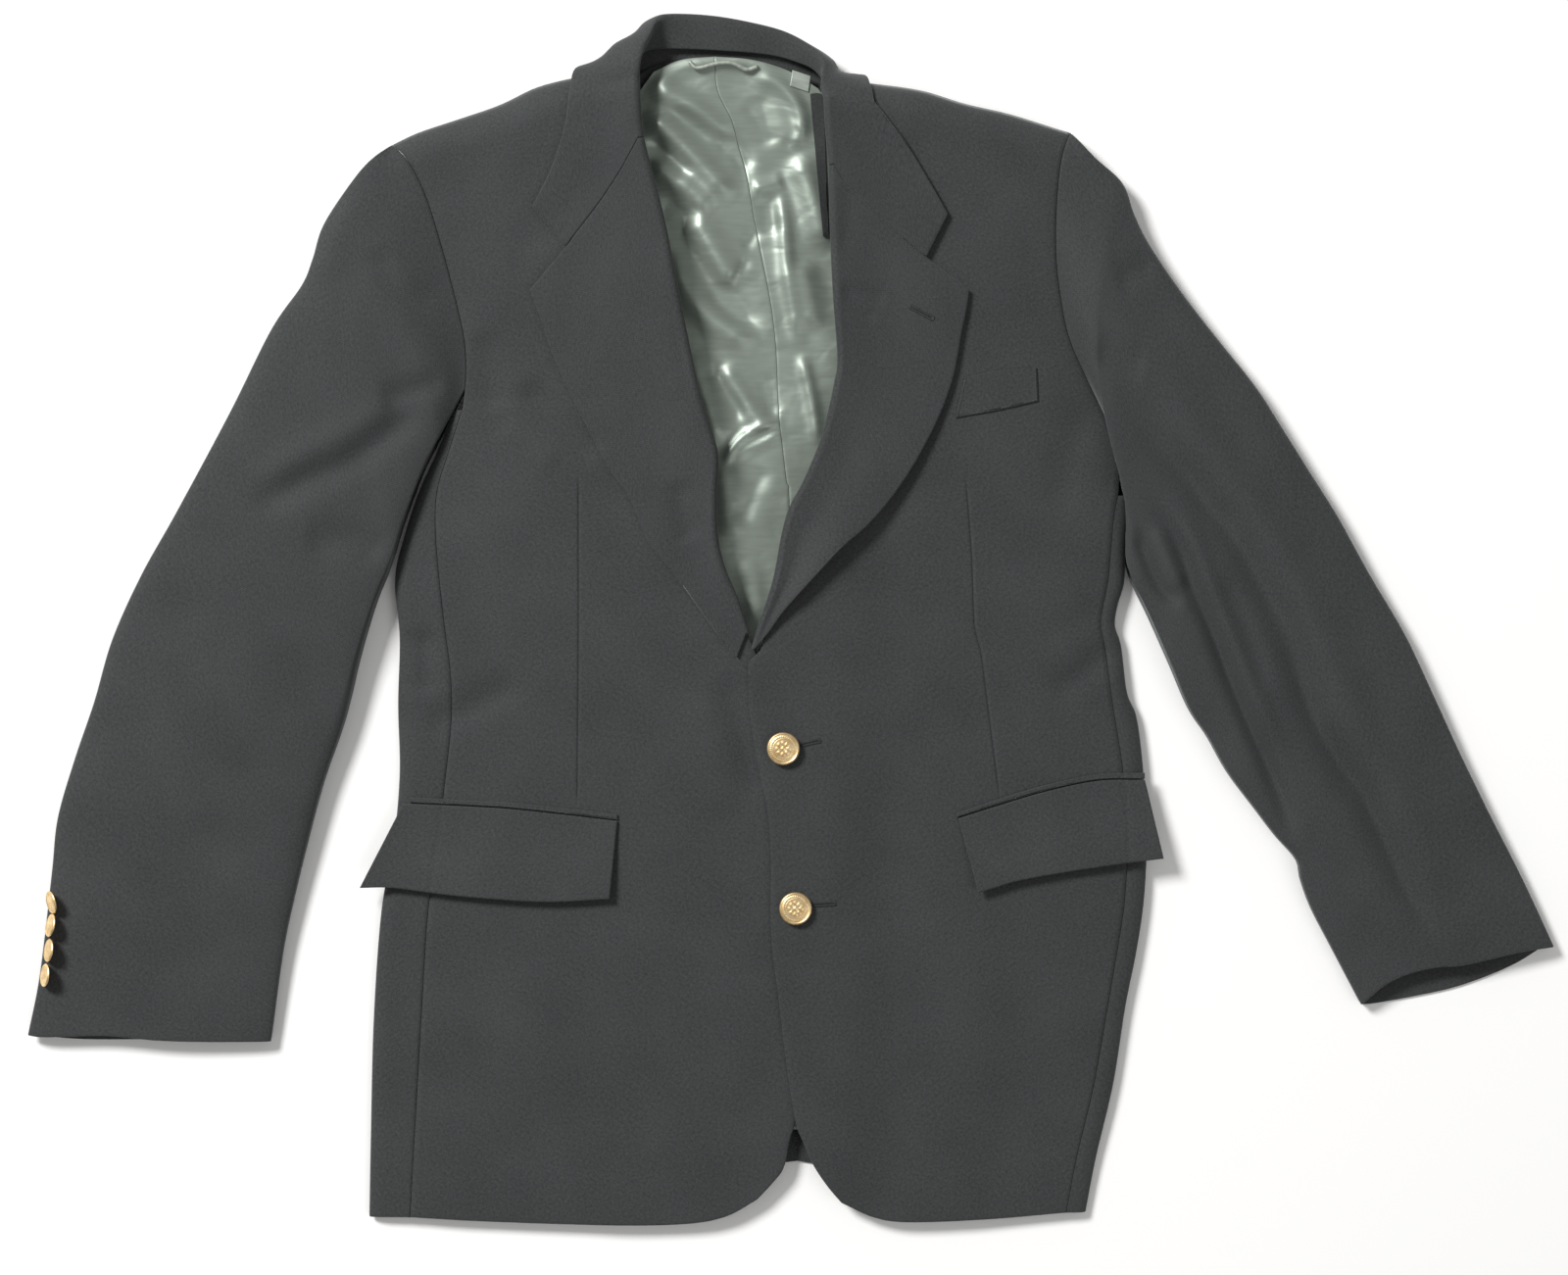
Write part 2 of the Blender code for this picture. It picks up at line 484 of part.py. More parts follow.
# Collar round the back of the neck: seam with the neck, fold, middle of the fall and its edge
COLLAR_BACK = [
    # seam x, y, z, fold x, y, z, side x, y, z, under x, y, z, edge x, y, z
    (-101, 356, 21, -98, 364, 29, -118, 362, 25, -130, 361, 20, -140, 360, 15),
    (-98, 366, 16, -92, 381, 22, -113, 377, 12, -115, 368, 0.5, -120, 361, 0),
    (-93, 371, 11, -87, 390, 16, -95, 391, 6, -97, 380, 0, -110, 346, 0),
    (-80, 373, 8, -77, 394, 10, -78, 394, 3, -80, 384, 0, -88, 348, 0),
    (-48, 372, 7, -45, 392, 9, -45, 392, 2.5, -46, 381, 0, -48, 346, 0),
    (-14, 369, 7, -9, 384, 10, -9, 385, 3, -12, 374, 0, -20, 343, 0),
    (6, 363, 10, 12, 373, 15, 14, 374, 6, 10, 364, 0, 0, 344, 0),
    (16, 357, 14, 21, 364, 21, 28, 365, 10, 25, 356, 0, 20, 346, 0),
    (22, 347, 19, 20, 352, 27, 32, 355, 21, 40, 356, 14, 46, 356, 9),
    (21, 341, 21, 20, 345, 29, 34, 347, 27, 44, 347, 25, 52, 348, 21),
]
COLLAR_ACROSS = np.linspace(0, 1, 13)
COLLAR_FRONT_ROWS = 5


def collar_end(gorge, tip):
    """Front end of the collar: along the gorge, then the free end out to the tip."""
    sewn = spline(gorge[1:], 20)
    free = spline([gorge[-1], tip], 8)
    return np.vstack([sewn, free[1:]])


COLLAR_CLEAR = 0.6  # more air under the collar's front, where its facets are longer
RIGHT_FALL = [RIGHT_COLLAR_TIP, (-156, 292), (-147, 319), (-144, 342)]
LEFT_FALL = [LEFT_COLLAR_TIP, (90, 284), (74, 310), (54, 336)]
right_end = leaf_grid(RIGHT_LINE, (RIGHT_SHARE, 1), RIGHT_FALL, collar_end(RIGHT_GORGE, RIGHT_COLLAR_TIP),
                      RIGHT_FALL[-1:], 1, 0, COLLAR_FRONT_ROWS, clear=COLLAR_CLEAR)
left_end = leaf_grid(LEFT_LINE, (LEFT_SHARE, 1), LEFT_FALL, collar_end(LEFT_GORGE, LEFT_COLLAR_TIP),
                     LEFT_FALL[-1:], -1, 1, COLLAR_FRONT_ROWS, clear=COLLAR_CLEAR)
back_rows = np.array([spline(np.array(row, float).reshape(5, 3), at=COLLAR_ACROSS) for row in COLLAR_BACK])
collar = np.concatenate([right_end, back_rows, left_end[::-1]])
collar[..., 2] = np.maximum(collar[..., 2], 0)
rolled_solid("collar", collar, WOOL, -1)

# Back lining: two halves over the inside of the back, with the main folds
LINING_FOLDS = [
    # from x, y to x, y, half width, height
    (-92, 318, -40, 270, 9, 4.0),
    (-80, 268, -14, 226, 8, 4.0),
    (-70, 216, -12, 178, 9, 3.5),
    (-62, 168, -34, 110, 7, 3.5),
    (-44, 118, -8, 132, 5, 4.5),
    (-92, 352, 4, 352, 6, 3.0),
    (-5, 330, 2, 210, 6, 4.0),
    (6, 200, 12, 110, 6, 2.5),
    (-100, 60, -20, 40, 16, 3.0),
    (40, 20, 90, -80, 18, 3.0),
    (-110, -120, -30, -180, 18, 2.5),
]
LINING_REST = 1.0


def ridges(xy, table):
    """Soft ridges along straight lines, each fading at its ends."""
    total = np.zeros(xy.shape[:-1])
    for x0, y0, x1, y1, wide, high in table:
        start, run = np.array([x0, y0], float), np.array([x1 - x0, y1 - y0], float)
        length = np.hypot(*run)
        local = (xy - start) @ np.stack([run, [-run[1], run[0]]], 1) / length
        ends = smooth(local[..., 0] / (0.3 * length)) * smooth((length - local[..., 0]) / (0.3 * length))
        total += high * np.exp(-((local[..., 1] / wide) ** 2)) * ends
    return total


def lining(name, side_line, top, bottom, rows, across):
    centre = spline(LINING_CENTRE, rows)
    outer = spline(side_line, rows)
    low, high = spline([outer[0], *bottom, centre[0]], across), spline([outer[-1], *top, centre[-1]], across)
    grid = coons(low, high, outer, centre)
    drawn = inset(grid, (0, 0, 0, 1))
    rest = back_height(drawn) + BACK_CLOTH + LINING_REST + ridges(drawn, LINING_FOLDS)
    sheet(name, drawn, rest, LINING, SATIN, 1)


RIGHT_LINING = [(-140, -322), (-150, -150), (-150, 0), (-140, 150), (-122, 280), (-104, 335), (-90, 356)]
LEFT_LINING = [(120, -326), (125, -150), (120, 0), (100, 150), (66, 270), (36, 322), (18, 344)]
lining("lining_right", RIGHT_LINING, [(-70, 363)], [(-70, -330)], 20, 8)
lining("lining_left", LEFT_LINING, [(-14, 358)], [(60, -332)], 20, 7)

# Hip pockets: welt and flap lie on the front and on the side panel
FLAP_LIFT = 4.0
WELT_CLOTH = 1.5
WELT_REST = 0.3


def layered(name, start, end, thickness, rest, lapped, lift, across, rows=3):
    """A strip between two lines, made from the body's height and moved out."""
    top, bottom = spline(start, across), spline(end, across)
    shares = np.linspace(0, 1, rows)[:, None, None]
    flat = top[None] + shares * (bottom - top)[None]
    high = body_height(flat) + HALF_GAP + lapped * lap(flat) + rest + thickness
    sheet(name, flat, high + lift * smooth(shares[..., 0]), thickness, WOOL, -1)


layered("pocket_welt_right", [(-249, -116), (-209, -118), (-175, -120), (-113, -127)],
        [(-249, -119.7), (-209, -121.4), (-175, -123.7), (-113, -130.7)], WELT_CLOTH, WELT_REST, 0, 0, 9, 2)
layered("pocket_flap_right", [(-253, -120), (-209, -122), (-175, -124.3), (-113, -131.3)],
        [(-281, -175), (-260, -175), (-228, -179), (-196, -182), (-158, -184), (-118, -182)],
        CLOTH, LAYER_GAP, 0, FLAP_LIFT, 13, 5)
layered("pocket_welt_left", [(108, -126), (132, -118), (166, -108), (200, -101), (231, -100)],
        [(108, -129), (132, -121.7), (166, -111.7), (200, -104.7), (231, -104)],
        WELT_CLOTH, WELT_REST, 1, 0, 9, 2)
layered("pocket_flap_left", [(109, -129.5), (132, -122.3), (166, -112.3), (200, -105.3), (231, -104.6)],
        [(122, -178), (132, -175), (149, -170), (183, -164), (218, -159), (243, -156)],
        CLOTH, LAYER_GAP, 1, FLAP_LIFT, 13, 5)
layered("breast_welt", [(113, 157.5), (135, 162), (160, 164)], [(107, 131), (135, 136), (161, 142)],
        WELT_CLOTH, WELT_REST, 1, 0, 6, 3)


# Small parts
def tube(name, line, radius, around, stuff):
    """Round cord through points, closed at both ends."""
    line = np.array(line, float)
    step = np.gradient(line, axis=0)
    step /= np.linalg.norm(step, axis=1, keepdims=True)
    side = np.cross(step, (0, 0, 1))
    side /= np.linalg.norm(side, axis=1, keepdims=True)
    up = np.cross(side, step)
    points, faces = [], []
    for i in range(len(line)):
        for k in range(around):
            a = 2 * math.pi * k / around
            points.append(line[i] + radius * (math.cos(a) * side[i] + math.sin(a) * up[i]))
    for i in range(len(line) - 1):
        for k in range(around):
            a, b = i * around + k, i * around + (k + 1) % around
            faces.append((a, a + around, b + around, b))
    faces.append(tuple(range(around)))
    faces.append(tuple(len(points) - 1 - k for k in range(around)))
    return add_mesh(name, points, faces, stuff)


LOOP_RADIUS = 1.4
tube("hanger_loop", spline([(-66, 364, 8.2), (-61, 360, 8.6), (-48, 363, 9), (-38, 363, 9), (-29, 359, 8.6),
                            (-22, 361, 8.2)], 11), LOOP_RADIUS, 6, CORD)
LABEL_TOP = [(1, 349), (15, 344)]
LABEL_DROP = (-5.0, -13.0)  # from the top edge to the lower one
LABEL_CLOTH, LABEL_REST = 0.8, 0.6
label = spline(LABEL_TOP, 3) + np.linspace(0, 1, 3)[:, None, None] * np.array(LABEL_DROP)
label_height = back_height(label) + BACK_CLOTH + LINING_REST + LINING + ridges(label, LINING_FOLDS)
sheet("neck_label", label, label_height + LABEL_REST + LABEL_CLOTH, LABEL_CLOTH, LABEL, -1)

# Button outline: share of the radius, height in millimetres for a 21 mm button
BUTTON_OUTLINE = [(0.24, 0.0), (0.24, 1.7), (0.86, 1.9), (0.97, 2.5), (1.0, 3.1), (0.96, 3.7), (0.88, 3.9),
                  (0.82, 3.6), (0.45, 4.3)]
BUTTON_TOP = 4.5
FRONT_BUTTONS = [("button_front_upper", -5, -84), ("button_front_lower", 3, -188)]
FRONT_BUTTON_RADIUS, SLEEVE_BUTTON_RADIUS = 10.7, 7.6
SLEEVE_BUTTONS = [
    # x, y, z of the shank's foot, tilt from level, turn
    (-480.0, -184, 15.0, 60, 184),
    (-480.5, -199.7, 15.3, 60, 184),
    (-481.5, -215.8, 15.8, 60, 183),
    (-484.0, -232, 15.4, 60, 186),
]
BUTTON_REST = 0.4


def button(name, foot, radius, tilt, turn, around):
    """Metal button on its shank, tipped over by tilt towards turn."""
    high = radius / FRONT_BUTTON_RADIUS
    points, faces = [], []
    for share, z in BUTTON_OUTLINE:
        for k in range(around):
            a = 2 * math.pi * k / around
            points.append((share * radius * math.cos(a), share * radius * math.sin(a), z * high))
    points.append((0, 0, BUTTON_TOP * high))
    rings = len(BUTTON_OUTLINE)
    for i in range(rings - 1):
        for k in range(around):
            a, b = i * around + k, i * around + (k + 1) % around
            faces.append((a, b, b + around, a + around))
    for k in range(around):
        faces.append(((rings - 1) * around + k, (rings - 1) * around + (k + 1) % around, rings * around))
    faces.append(tuple(range(around - 1, -1, -1)))
    tip, spin = math.radians(tilt), math.radians(turn)
    tipped = np.array([[math.cos(tip), 0, math.sin(tip)], [0, 1, 0], [-math.sin(tip), 0, math.cos(tip)]])
    spun = np.array([[math.cos(spin), -math.sin(spin), 0], [math.sin(spin), math.cos(spin), 0], [0, 0, 1]])
    return add_mesh(name, np.array(points) @ (spun @ tipped).T + np.array(foot, float), faces, GOLD)


for name, x, y in FRONT_BUTTONS:
    here = np.array([[x, y]], float)
    foot = float((body_height(here) + lap(here))[0]) + HALF_GAP + BUTTON_REST
    button(name, (x, y, foot), FRONT_BUTTON_RADIUS, 0, 0, 20)
for number, (x, y, z, tilt, turn) in enumerate(SLEEVE_BUTTONS, 1):
    button(f"button_sleeve_{number}", (x, y, z), SLEEVE_BUTTON_RADIUS, tilt, turn, 14)
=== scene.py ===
"""Looks of a two-button blazer laid face up: cloth shells with their creases, trims, buttons and light.

Tables and helpers work in millimetres, x to the wearer's left and y to the collar. Meshes are in metres.
"""

import math

import bpy
import numpy as np
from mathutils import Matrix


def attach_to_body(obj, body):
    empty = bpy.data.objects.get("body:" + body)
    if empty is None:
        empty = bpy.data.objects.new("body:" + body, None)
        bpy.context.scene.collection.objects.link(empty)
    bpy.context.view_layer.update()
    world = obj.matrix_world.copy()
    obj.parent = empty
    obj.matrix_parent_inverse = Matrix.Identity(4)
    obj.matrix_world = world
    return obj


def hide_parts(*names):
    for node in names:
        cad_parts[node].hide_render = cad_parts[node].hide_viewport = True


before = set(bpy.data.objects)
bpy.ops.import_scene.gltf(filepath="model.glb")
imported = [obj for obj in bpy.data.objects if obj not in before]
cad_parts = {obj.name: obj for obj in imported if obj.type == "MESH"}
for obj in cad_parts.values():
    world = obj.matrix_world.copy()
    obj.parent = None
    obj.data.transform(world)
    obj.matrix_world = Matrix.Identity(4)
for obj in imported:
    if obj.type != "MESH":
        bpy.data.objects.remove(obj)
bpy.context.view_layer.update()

MM = 0.001
CLOTH, BACK_CLOTH, LINING = 2.0, 1.5, 0.8  # thickness of fronts, backs and lining
SEAM_GAP, LAYER_GAP = 0.05, 0.5  # what is left open at a seam and under a layer
# How far the cloth rounds off at an edge that is free, sewn, in a fold, beneath, on a trim, or on thin cloth.
FREE_EDGE, SEWN_EDGE, FOLD_EDGE, HIDDEN_EDGE, TRIM_EDGE, THIN_EDGE = 0.9, 0.2, 0.3, 0.5, 0.6, 0.4

# Outlines in the plane of the table. Each runs hem or cuff to neck.
RIGHT_SIDE = [(-276, -391), (-275, -338), (-273, -261), (-268, -191), (-260, -146), (-256, -101),
              (-257, -56), (-256, -12), (-259, 26), (-253, 54), (-243, 84), (-230, 113), (-220, 140)]
RIGHT_SEAM = [(-249, -391), (-245, -321), (-241, -253), (-237, -191), (-231, -152), (-227, -116),
              (-222, -69), (-222, -37), (-226, -5), (-230, 31), (-232, 59), (-231, 84), (-223, 110),
              (-214, 138)]
LEFT_SIDE = [(193, -387), (200, -351), (211, -304), (219, -253), (226, -218), (231, -184), (233, -146),
             (232, -123), (230, -92), (226, -63), (220, -48), (216, -17), (212, -4), (214, 10),
             (218, 24), (219, 46), (221, 68), (220, 81)]
LEFT_SEAM = [(180, -388), (187, -351), (198, -304), (207, -253), (213, -218), (218, -184), (220, -146),
             (219, -123), (216, -92), (211, -61), (208, -40), (205, -17), (202, -4), (204, 10),
             (207, 24), (209, 46), (211, 68), (214, 82)]
RIGHT_ARMHOLE = [(-214, 138), (-212, 159), (-213, 182), (-219, 210), (-228, 244), (-238, 276), (-249, 298),
                 (-260, 310)]
LEFT_ARMHOLE = [(214, 82), (214, 108), (204, 135), (192, 159), (182, 182), (177, 203), (173, 234),
                (173, 268), (176, 299), (182, 318)]
RIGHT_SHOULDER = [(-260, 310), (-243, 318), (-216, 327), (-190, 336), (-167, 347), (-145, 353), (-128, 356),
                  (-110, 360)]
LEFT_SHOULDER = [(182, 318), (175, 320), (143, 330), (113, 337), (87, 345), (61, 349), (36, 351)]
RIGHT_ROLL = [(-11, -37), (-23, -7), (-34, 13), (-42, 32), (-47, 52), (-48, 80), (-47, 106), (-52, 125),
              (-59, 148), (-68, 190), (-75, 225), (-81, 256), (-89, 288), (-95, 312)]
RIGHT_NECK_EDGE = [(-95, 312), (-97, 332), (-98, 350)]
LEFT_ROLL = [(-28, -28), (-22, -6), (-12, 25), (-6, 56), (-1, 73), (8, 90), (19, 116), (24, 135),
             (28, 154), (30, 170), (27, 212), (25, 257), (24, 294)]
LEFT_NECK_EDGE = [(24, 294), (22, 318), (21, 338)]
RIGHT_LAPEL = [(-4, -47), (-32, -26), (-48, -10), (-76, 29), (-93, 51), (-105, 79), (-119, 99), (-134, 128),
               (-146, 152), (-155, 172), (-163, 196), (-170, 214)]
LEFT_LAPEL = [(-26, -26), (-4, 6), (16, 28), (33, 46), (50, 61), (64, 77), (76, 94), (86, 111), (96, 131),
              (104, 152), (108, 169), (111, 186), (114, 200), (116, 214)]
RIGHT_EDGE = [(-22, -379), (-10, -366), (-4, -357), (-1, -341), (3, -328), (10, -300), (17, -248), (21, -188),
              (19, -140), (15, -84), (5, -53), (-11, -37)]
LEFT_EDGE = [(33, -381), (23, -369), (14, -355), (8, -341), (3, -328), (-3, -290), (-8, -248), (-13, -204),
             (-13, -159), (-15, -127), (-22, -92), (-27, -60), (-28, -28)]
RIGHT_HEM = [(-249, -391), (-190, -394), (-115, -396), (-68, -395), (-42, -390), (-22, -379)]
LEFT_HEM = [(180, -388), (132, -392), (79, -394), (55, -391), (33, -381)]
RIGHT_GORGE = [(-95, 312), (-110, 292), (-124, 271), (-141, 249), (-146, 242)]
LEFT_GORGE = [(24, 294), (33, 285), (47, 273), (65, 254), (88, 235)]
RIGHT_TIP, RIGHT_COLLAR_TIP = (-170, 214), (-168, 268)
LEFT_TIP, LEFT_COLLAR_TIP = (116, 214), (102, 263)
RIGHT_SLEEVE_IN = [(-222, 139), (-233, 114), (-246, 86), (-256, 56), (-262, 33), (-271, 10), (-281, -24),
                   (-291, -65), (-305, -106), (-315, -143), (-325, -184), (-332, -218), (-340, -276)]
RIGHT_SLEEVE_OUT = [(-262, 309), (-281, 292), (-304, 259), (-312, 235), (-319, 218), (-339, 189), (-366, 135),
                    (-401, 70), (-424, 29), (-443, -13), (-455, -54), (-468, -92), (-479, -130),
                    (-483, -166), (-491, -232), (-499, -272)]
LEFT_SLEEVE_IN = [(223, 81), (225, 68), (224, 49), (223, 33), (226, 19), (236, -3), (248, -31), (260, -59),
                  (272, -77), (285, -100), (303, -124), (316, -141), (330, -157), (333, -170), (340, -189),
                  (354, -216), (364, -235), (373, -252)]
LEFT_SLEEVE_OUT = [(184, 317), (197, 302), (216, 285), (224, 264), (234, 244), (255, 213), (279, 182),
                   (303, 152), (323, 121), (340, 94), (357, 67), (378, 29), (401, -10), (419, -48),
                   (436, -85), (456, -126), (474, -161), (487, -188), (499, -214)]
RIGHT_CUFF = [(-340, -276), (-380, -276), (-414, -275), (-448, -272), (-486, -273), (-499, -272)]
RIGHT_CUFF_UNDER = [(-340, -277), (-380, -278), (-431, -279), (-465, -279), (-488, -277), (-498, -273)]
LEFT_CUFF = [(373, -252), (388, -239), (405, -231), (424, -227), (439, -226), (474, -218), (499, -214)]
LEFT_CUFF_UNDER = [(373, -252), (378, -254), (405, -250), (439, -243), (474, -230), (499, -215)]
LINING_CENTRE = [(6, -334), (2, -200), (-2, -60), (-1, 73), (-3, 92), (-8, 137), (-10, 180), (-14, 211),
                 (-24, 262), (-29, 291), (-35, 312), (-39, 327), (-48, 346), (-50, 368)]
BACK_CENTRE = [(4, -355), (0, -236), (-4, -108), (-6, 20), (-10, 148), (-22, 276), (-38, 368)]

# Height of the body's upper surface: y, at the side fold, at the middle.
BODY_HEIGHT = [(-400, 7, 10), (-300, 9, 12), (-180, 10, 15), (-60, 10, 17), (60, 11, 20), (180, 14, 23),
               (280, 18, 25), (400, 20, 26)]
BODY_SHAPE = 2.4  # power of the rise from side to middle
SHOULDER_FOLD, SHOULDER_EDGE = 22.0, 9.0  # reach of the folded shoulder, height of its edge
SHOULDER_MEET = 3.0  # how near the shoulder the cloth's wall turns level
LAP_LIFT = 3.0  # rise of the left front where it lies over the right
LAP_FADE, LAP_WIDTH = 70.0, 45.0  # x where the rise has gone, width over which it goes
LAP_FOOT, LAP_RISE = -421.0, 60.0  # y where the rise starts, length over which it comes
ROLL_RADIUS, ROLL_CLEAR = 4.0, 5.7  # of the lapel's roll, and the front's edge from the roll line
BODY_WAVE, BODY_WAVE_SIZE = 0.8, 27.0
CREASE_GAIN = 1.4

# Creases: points, half width, height (below 0 a trough).
BODY_CREASES = [
    ([(-241, -72), (-210, -58), (-175, -41)], 10, -1.6),
    ([(-238, -4), (-240, -28), (-239, -52)], 8, -1.8),
    ([(-178, 156), (-160, 139), (-142, 120), (-122, 102)], 10, -1.8),
    ([(-190, 128), (-170, 112), (-150, 98)], 9, 0.9),
    ([(-47, -33), (-36, -56), (-29, -80), (-25, -100), (-21, -122)], 9, -1.9),
    ([(-64, -48), (-54, -72), (-46, -100), (-40, -132)], 12, 0.9),
    ([(214, -14), (193, -33), (168, -50)], 9, -1.6),
    ([(206, 8), (188, 0), (160, -12)], 10, -0.9),
    ([(200, 150), (186, 120), (178, 92), (174, 66)], 12, -1.4),
    ([(-200, 190), (-196, 160), (-192, 132)], 11, -1.3),
    ([(-176, -214), (-184, -270), (-186, -340)], 22, 1.0),
    ([(-90, -210), (-84, -280), (-82, -350)], 26, -0.9),
    ([(120, -206), (116, -270), (112, -350)], 24, 0.9),
    ([(52, -60), (60, -120), (62, -190)], 22, -0.8),
    ([(-120, 300), (-150, 262), (-188, 236)], 14, -0.9),
    ([(70, 318), (110, 300), (150, 268)], 14, -0.9),
]
SEAM_TROUGHS = [
    (RIGHT_ARMHOLE[1:], 3.2, -0.7),
    (LEFT_ARMHOLE[1:], 3.2, -0.7),
    (RIGHT_SEAM, 2.0, -0.35),
    (LEFT_SEAM, 2.0, -0.35),
]
RIGHT_LAPEL_CREASES = [
    ([(-72, 92), (-71, 71), (-64, 48)], 8, -1.8),
    ([(-84, 200), (-78, 170), (-70, 140)], 13, 0.7),
]
LEFT_LAPEL_CREASES = [
    ([(28, 217), (44, 212), (64, 207)], 5, -1.2),
    ([(30, 215), (44, 203), (57, 193)], 5, -1.1),
    ([(32, 236), (36, 262), (38, 286)], 8, -1.0),
    ([(60, 110), (40, 84), (22, 62)], 14, 0.8),
]
RIGHT_SLEEVE_CREASES = [
    ([(-353, 62), (-340, 77), (-318, 89), (-292, 100), (-270, 115), (-235, 142)], 10, -2.6),
    ([(-346, 82), (-318, 106), (-284, 121), (-250, 146)], 11, 1.4),
    ([(-222, 154), (-242, 150), (-268, 141)], 8, -1.8),
    ([(-270, 244), (-260, 219), (-248, 209), (-225, 206)], 8, -1.3),
    ([(-262, 40), (-286, 52), (-318, 50)], 11, -1.5),
    ([(-330, 10), (-352, -40), (-366, -100)], 26, 1.1),
    ([(-400, 30), (-416, -30), (-430, -92)], 24, -0.9),
    ([(-372, -120), (-384, -180), (-394, -240)], 22, -0.9),
    ([(-285, 280), (-296, 250), (-306, 220)], 14, 0.8),
]
LEFT_SLEEVE_CREASES = [
    ([(228, 83), (238, 69), (252, 49), (262, 21), (274, -6), (285, -35), (298, -66), (310, -93), (320, -117),
      (326, -139), (330, -156)], 6, -4.2),
    ([(240, 84), (258, 56), (272, 22), (288, -16), (304, -56), (322, -98)], 8, 2.2),
    ([(262, 21), (274, -6), (285, -35), (298, -66), (310, -93), (320, -117)], 3.5, -1.5),
    ([(224, 60), (232, 38), (241, 20), (256, 8)], 4.5, -2.6),
    ([(236, 62), (246, 38), (256, 18)], 6, 1.8),
    ([(279, 31), (294, -4), (303, -28), (310, -52)], 7, -1.2),
    ([(205, 158), (224, 136), (241, 112), (259, 93), (272, 74), (289, 56), (300, 35), (311, 15), (323, -8),
      (330, -31), (340, -61), (357, -92), (371, -110), (381, -129), (392, -153), (402, -177), (413, -195),
      (424, -212), (429, -224)], 11, -4.4),
    ([(323, -8), (340, -61), (357, -92), (371, -110), (381, -129), (392, -153), (402, -177), (413, -195),
      (426, -214)], 4.5, -1.6),
    ([(241, 112), (272, 74), (300, 35), (323, -8)], 5, -1.0),
    ([(222, 164), (252, 132), (282, 96), (310, 58), (334, 14), (352, -30), (372, -74), (398, -118),
      (420, -160), (440, -196)], 14, 2.2),
    ([(236, 240), (228, 228), (210, 219)], 9, -1.5),
    ([(196, 176), (212, 168), (232, 166)], 8, -1.2),
    ([(398, 6), (424, -44), (446, -92)], 16, -1.0),
]
LINING_CREASES = [
    ([(-97, 340), (-84, 352), (-66, 362), (-44, 364), (-20, 362), (0, 352)], 5, 1.8),
    ([(-92, 354), (-78, 342), (-64, 334), (-50, 321), (-40, 308)], 8, 4.4),
    ([(-86, 338), (-61, 322), (-34, 305), (-30, 284)], 6, -2.6),
    ([(-98, 334), (-72, 311), (-53, 292), (-36, 272)], 8, 5.2),
    ([(-93, 317), (-78, 301), (-66, 288)], 6, -2.4),
    ([(-93, 302), (-67, 281), (-50, 264)], 8, 4.6),
    ([(-86, 281), (-74, 259), (-60, 236), (-47, 214), (-31, 198), (-14, 189)], 8, -3.0),
    ([(-66, 268), (-56, 248), (-44, 228), (-36, 214)], 11, 5.2),
    ([(-80, 240), (-68, 217), (-54, 200), (-38, 188), (-20, 178)], 9, 4.4),
    ([(-39, 218), (-33, 228), (-28, 238)], 3.5, -1.4),
    ([(-31, 242), (-27, 248), (-22, 256)], 3.5, -1.2),
    ([(-30, 356), (-9, 350), (3, 338), (7, 322), (-4, 306)], 5, 2.6),
    ([(-26, 342), (-18, 326), (-13, 308)], 8, -1.8),
    ([(-4, 308), (0, 314), (6, 322)], 3.5, -1.2),
    ([(-26, 281), (-14, 284), (-4, 288)], 4, 2.2),
    ([(-18, 279), (-14, 266), (-13, 250)], 7, -2.0),
    ([(-8, 288), (-4, 253), (-2, 225), (2, 200), (6, 172)], 5, 2.8),
    ([(0, 306), (10, 288), (18, 262), (22, 240)], 9, 4.0),
    ([(6, 236), (10, 214), (15, 188)], 8, 2.6),
    ([(-66, 176), (-56, 146), (-46, 112)], 8, 3.8),
    ([(-54, 168), (-40, 146), (-30, 128)], 6, -2.2),
    ([(-47, 168), (-34, 148), (-22, 132), (-10, 128)], 6, 2.6),
    ([(-18, 160), (-14, 146), (-11, 132)], 4, -1.6),
    ([(-4, 131), (-21, 125), (-32, 118), (-40, 108), (-43, 98)], 3.2, 3.0),
    ([(-3, 124), (-17, 116), (-30, 110), (-38, 102)], 3.0, 2.0),
    ([(-44, 104), (-42, 76), (-36, 50)], 8, 2.6),
    ([(-17, 102), (-25, 83), (-35, 60)], 6, -1.4),
    ([(6, 176), (11, 156), (16, 131), (17, 112)], 4, 2.4),
    ([(-30, 42), (-24, 18), (-21, -4)], 7, 1.8),
    ([(-100, 60), (-60, 50), (-20, 40)], 16, 2.0),
    ([(40, 20), (66, -30), (90, -80)], 18, 2.0),
    ([(-110, -120), (-70, -150), (-30, -180)], 18, 2.0),
]
CREASE_STEPS = 26
CREASE_FADE = 0.22  # share of a crease's length over which it dies away at each end

# Unevenness of cloth that lies on cloth: waves across, waves along, phase, weight.
WAVES = [(1.0, 0.6, 0.4, 1.0), (1.7, -0.9, 2.1, 0.8), (0.7, 2.1, 4.0, 0.6), (2.9, 1.3, 1.2, 0.5)]


# Curves and grids
SPAN_STEPS, FINE_STEPS = 12, 60  # points on a curve between two of its own, and on a whole outline


def run_along(line):
    """Length of the line up to each of its points."""
    return np.concatenate([[0], np.cumsum(np.linalg.norm(np.diff(line, axis=0), axis=1))])


def along(line, shares):
    """Points at the given shares of a line's length."""
    line = np.asarray(line, float)
    run = run_along(line)
    wanted = np.asarray(shares) * run[-1]
    return np.stack([np.interp(wanted, run, values) for values in line.T], 1)


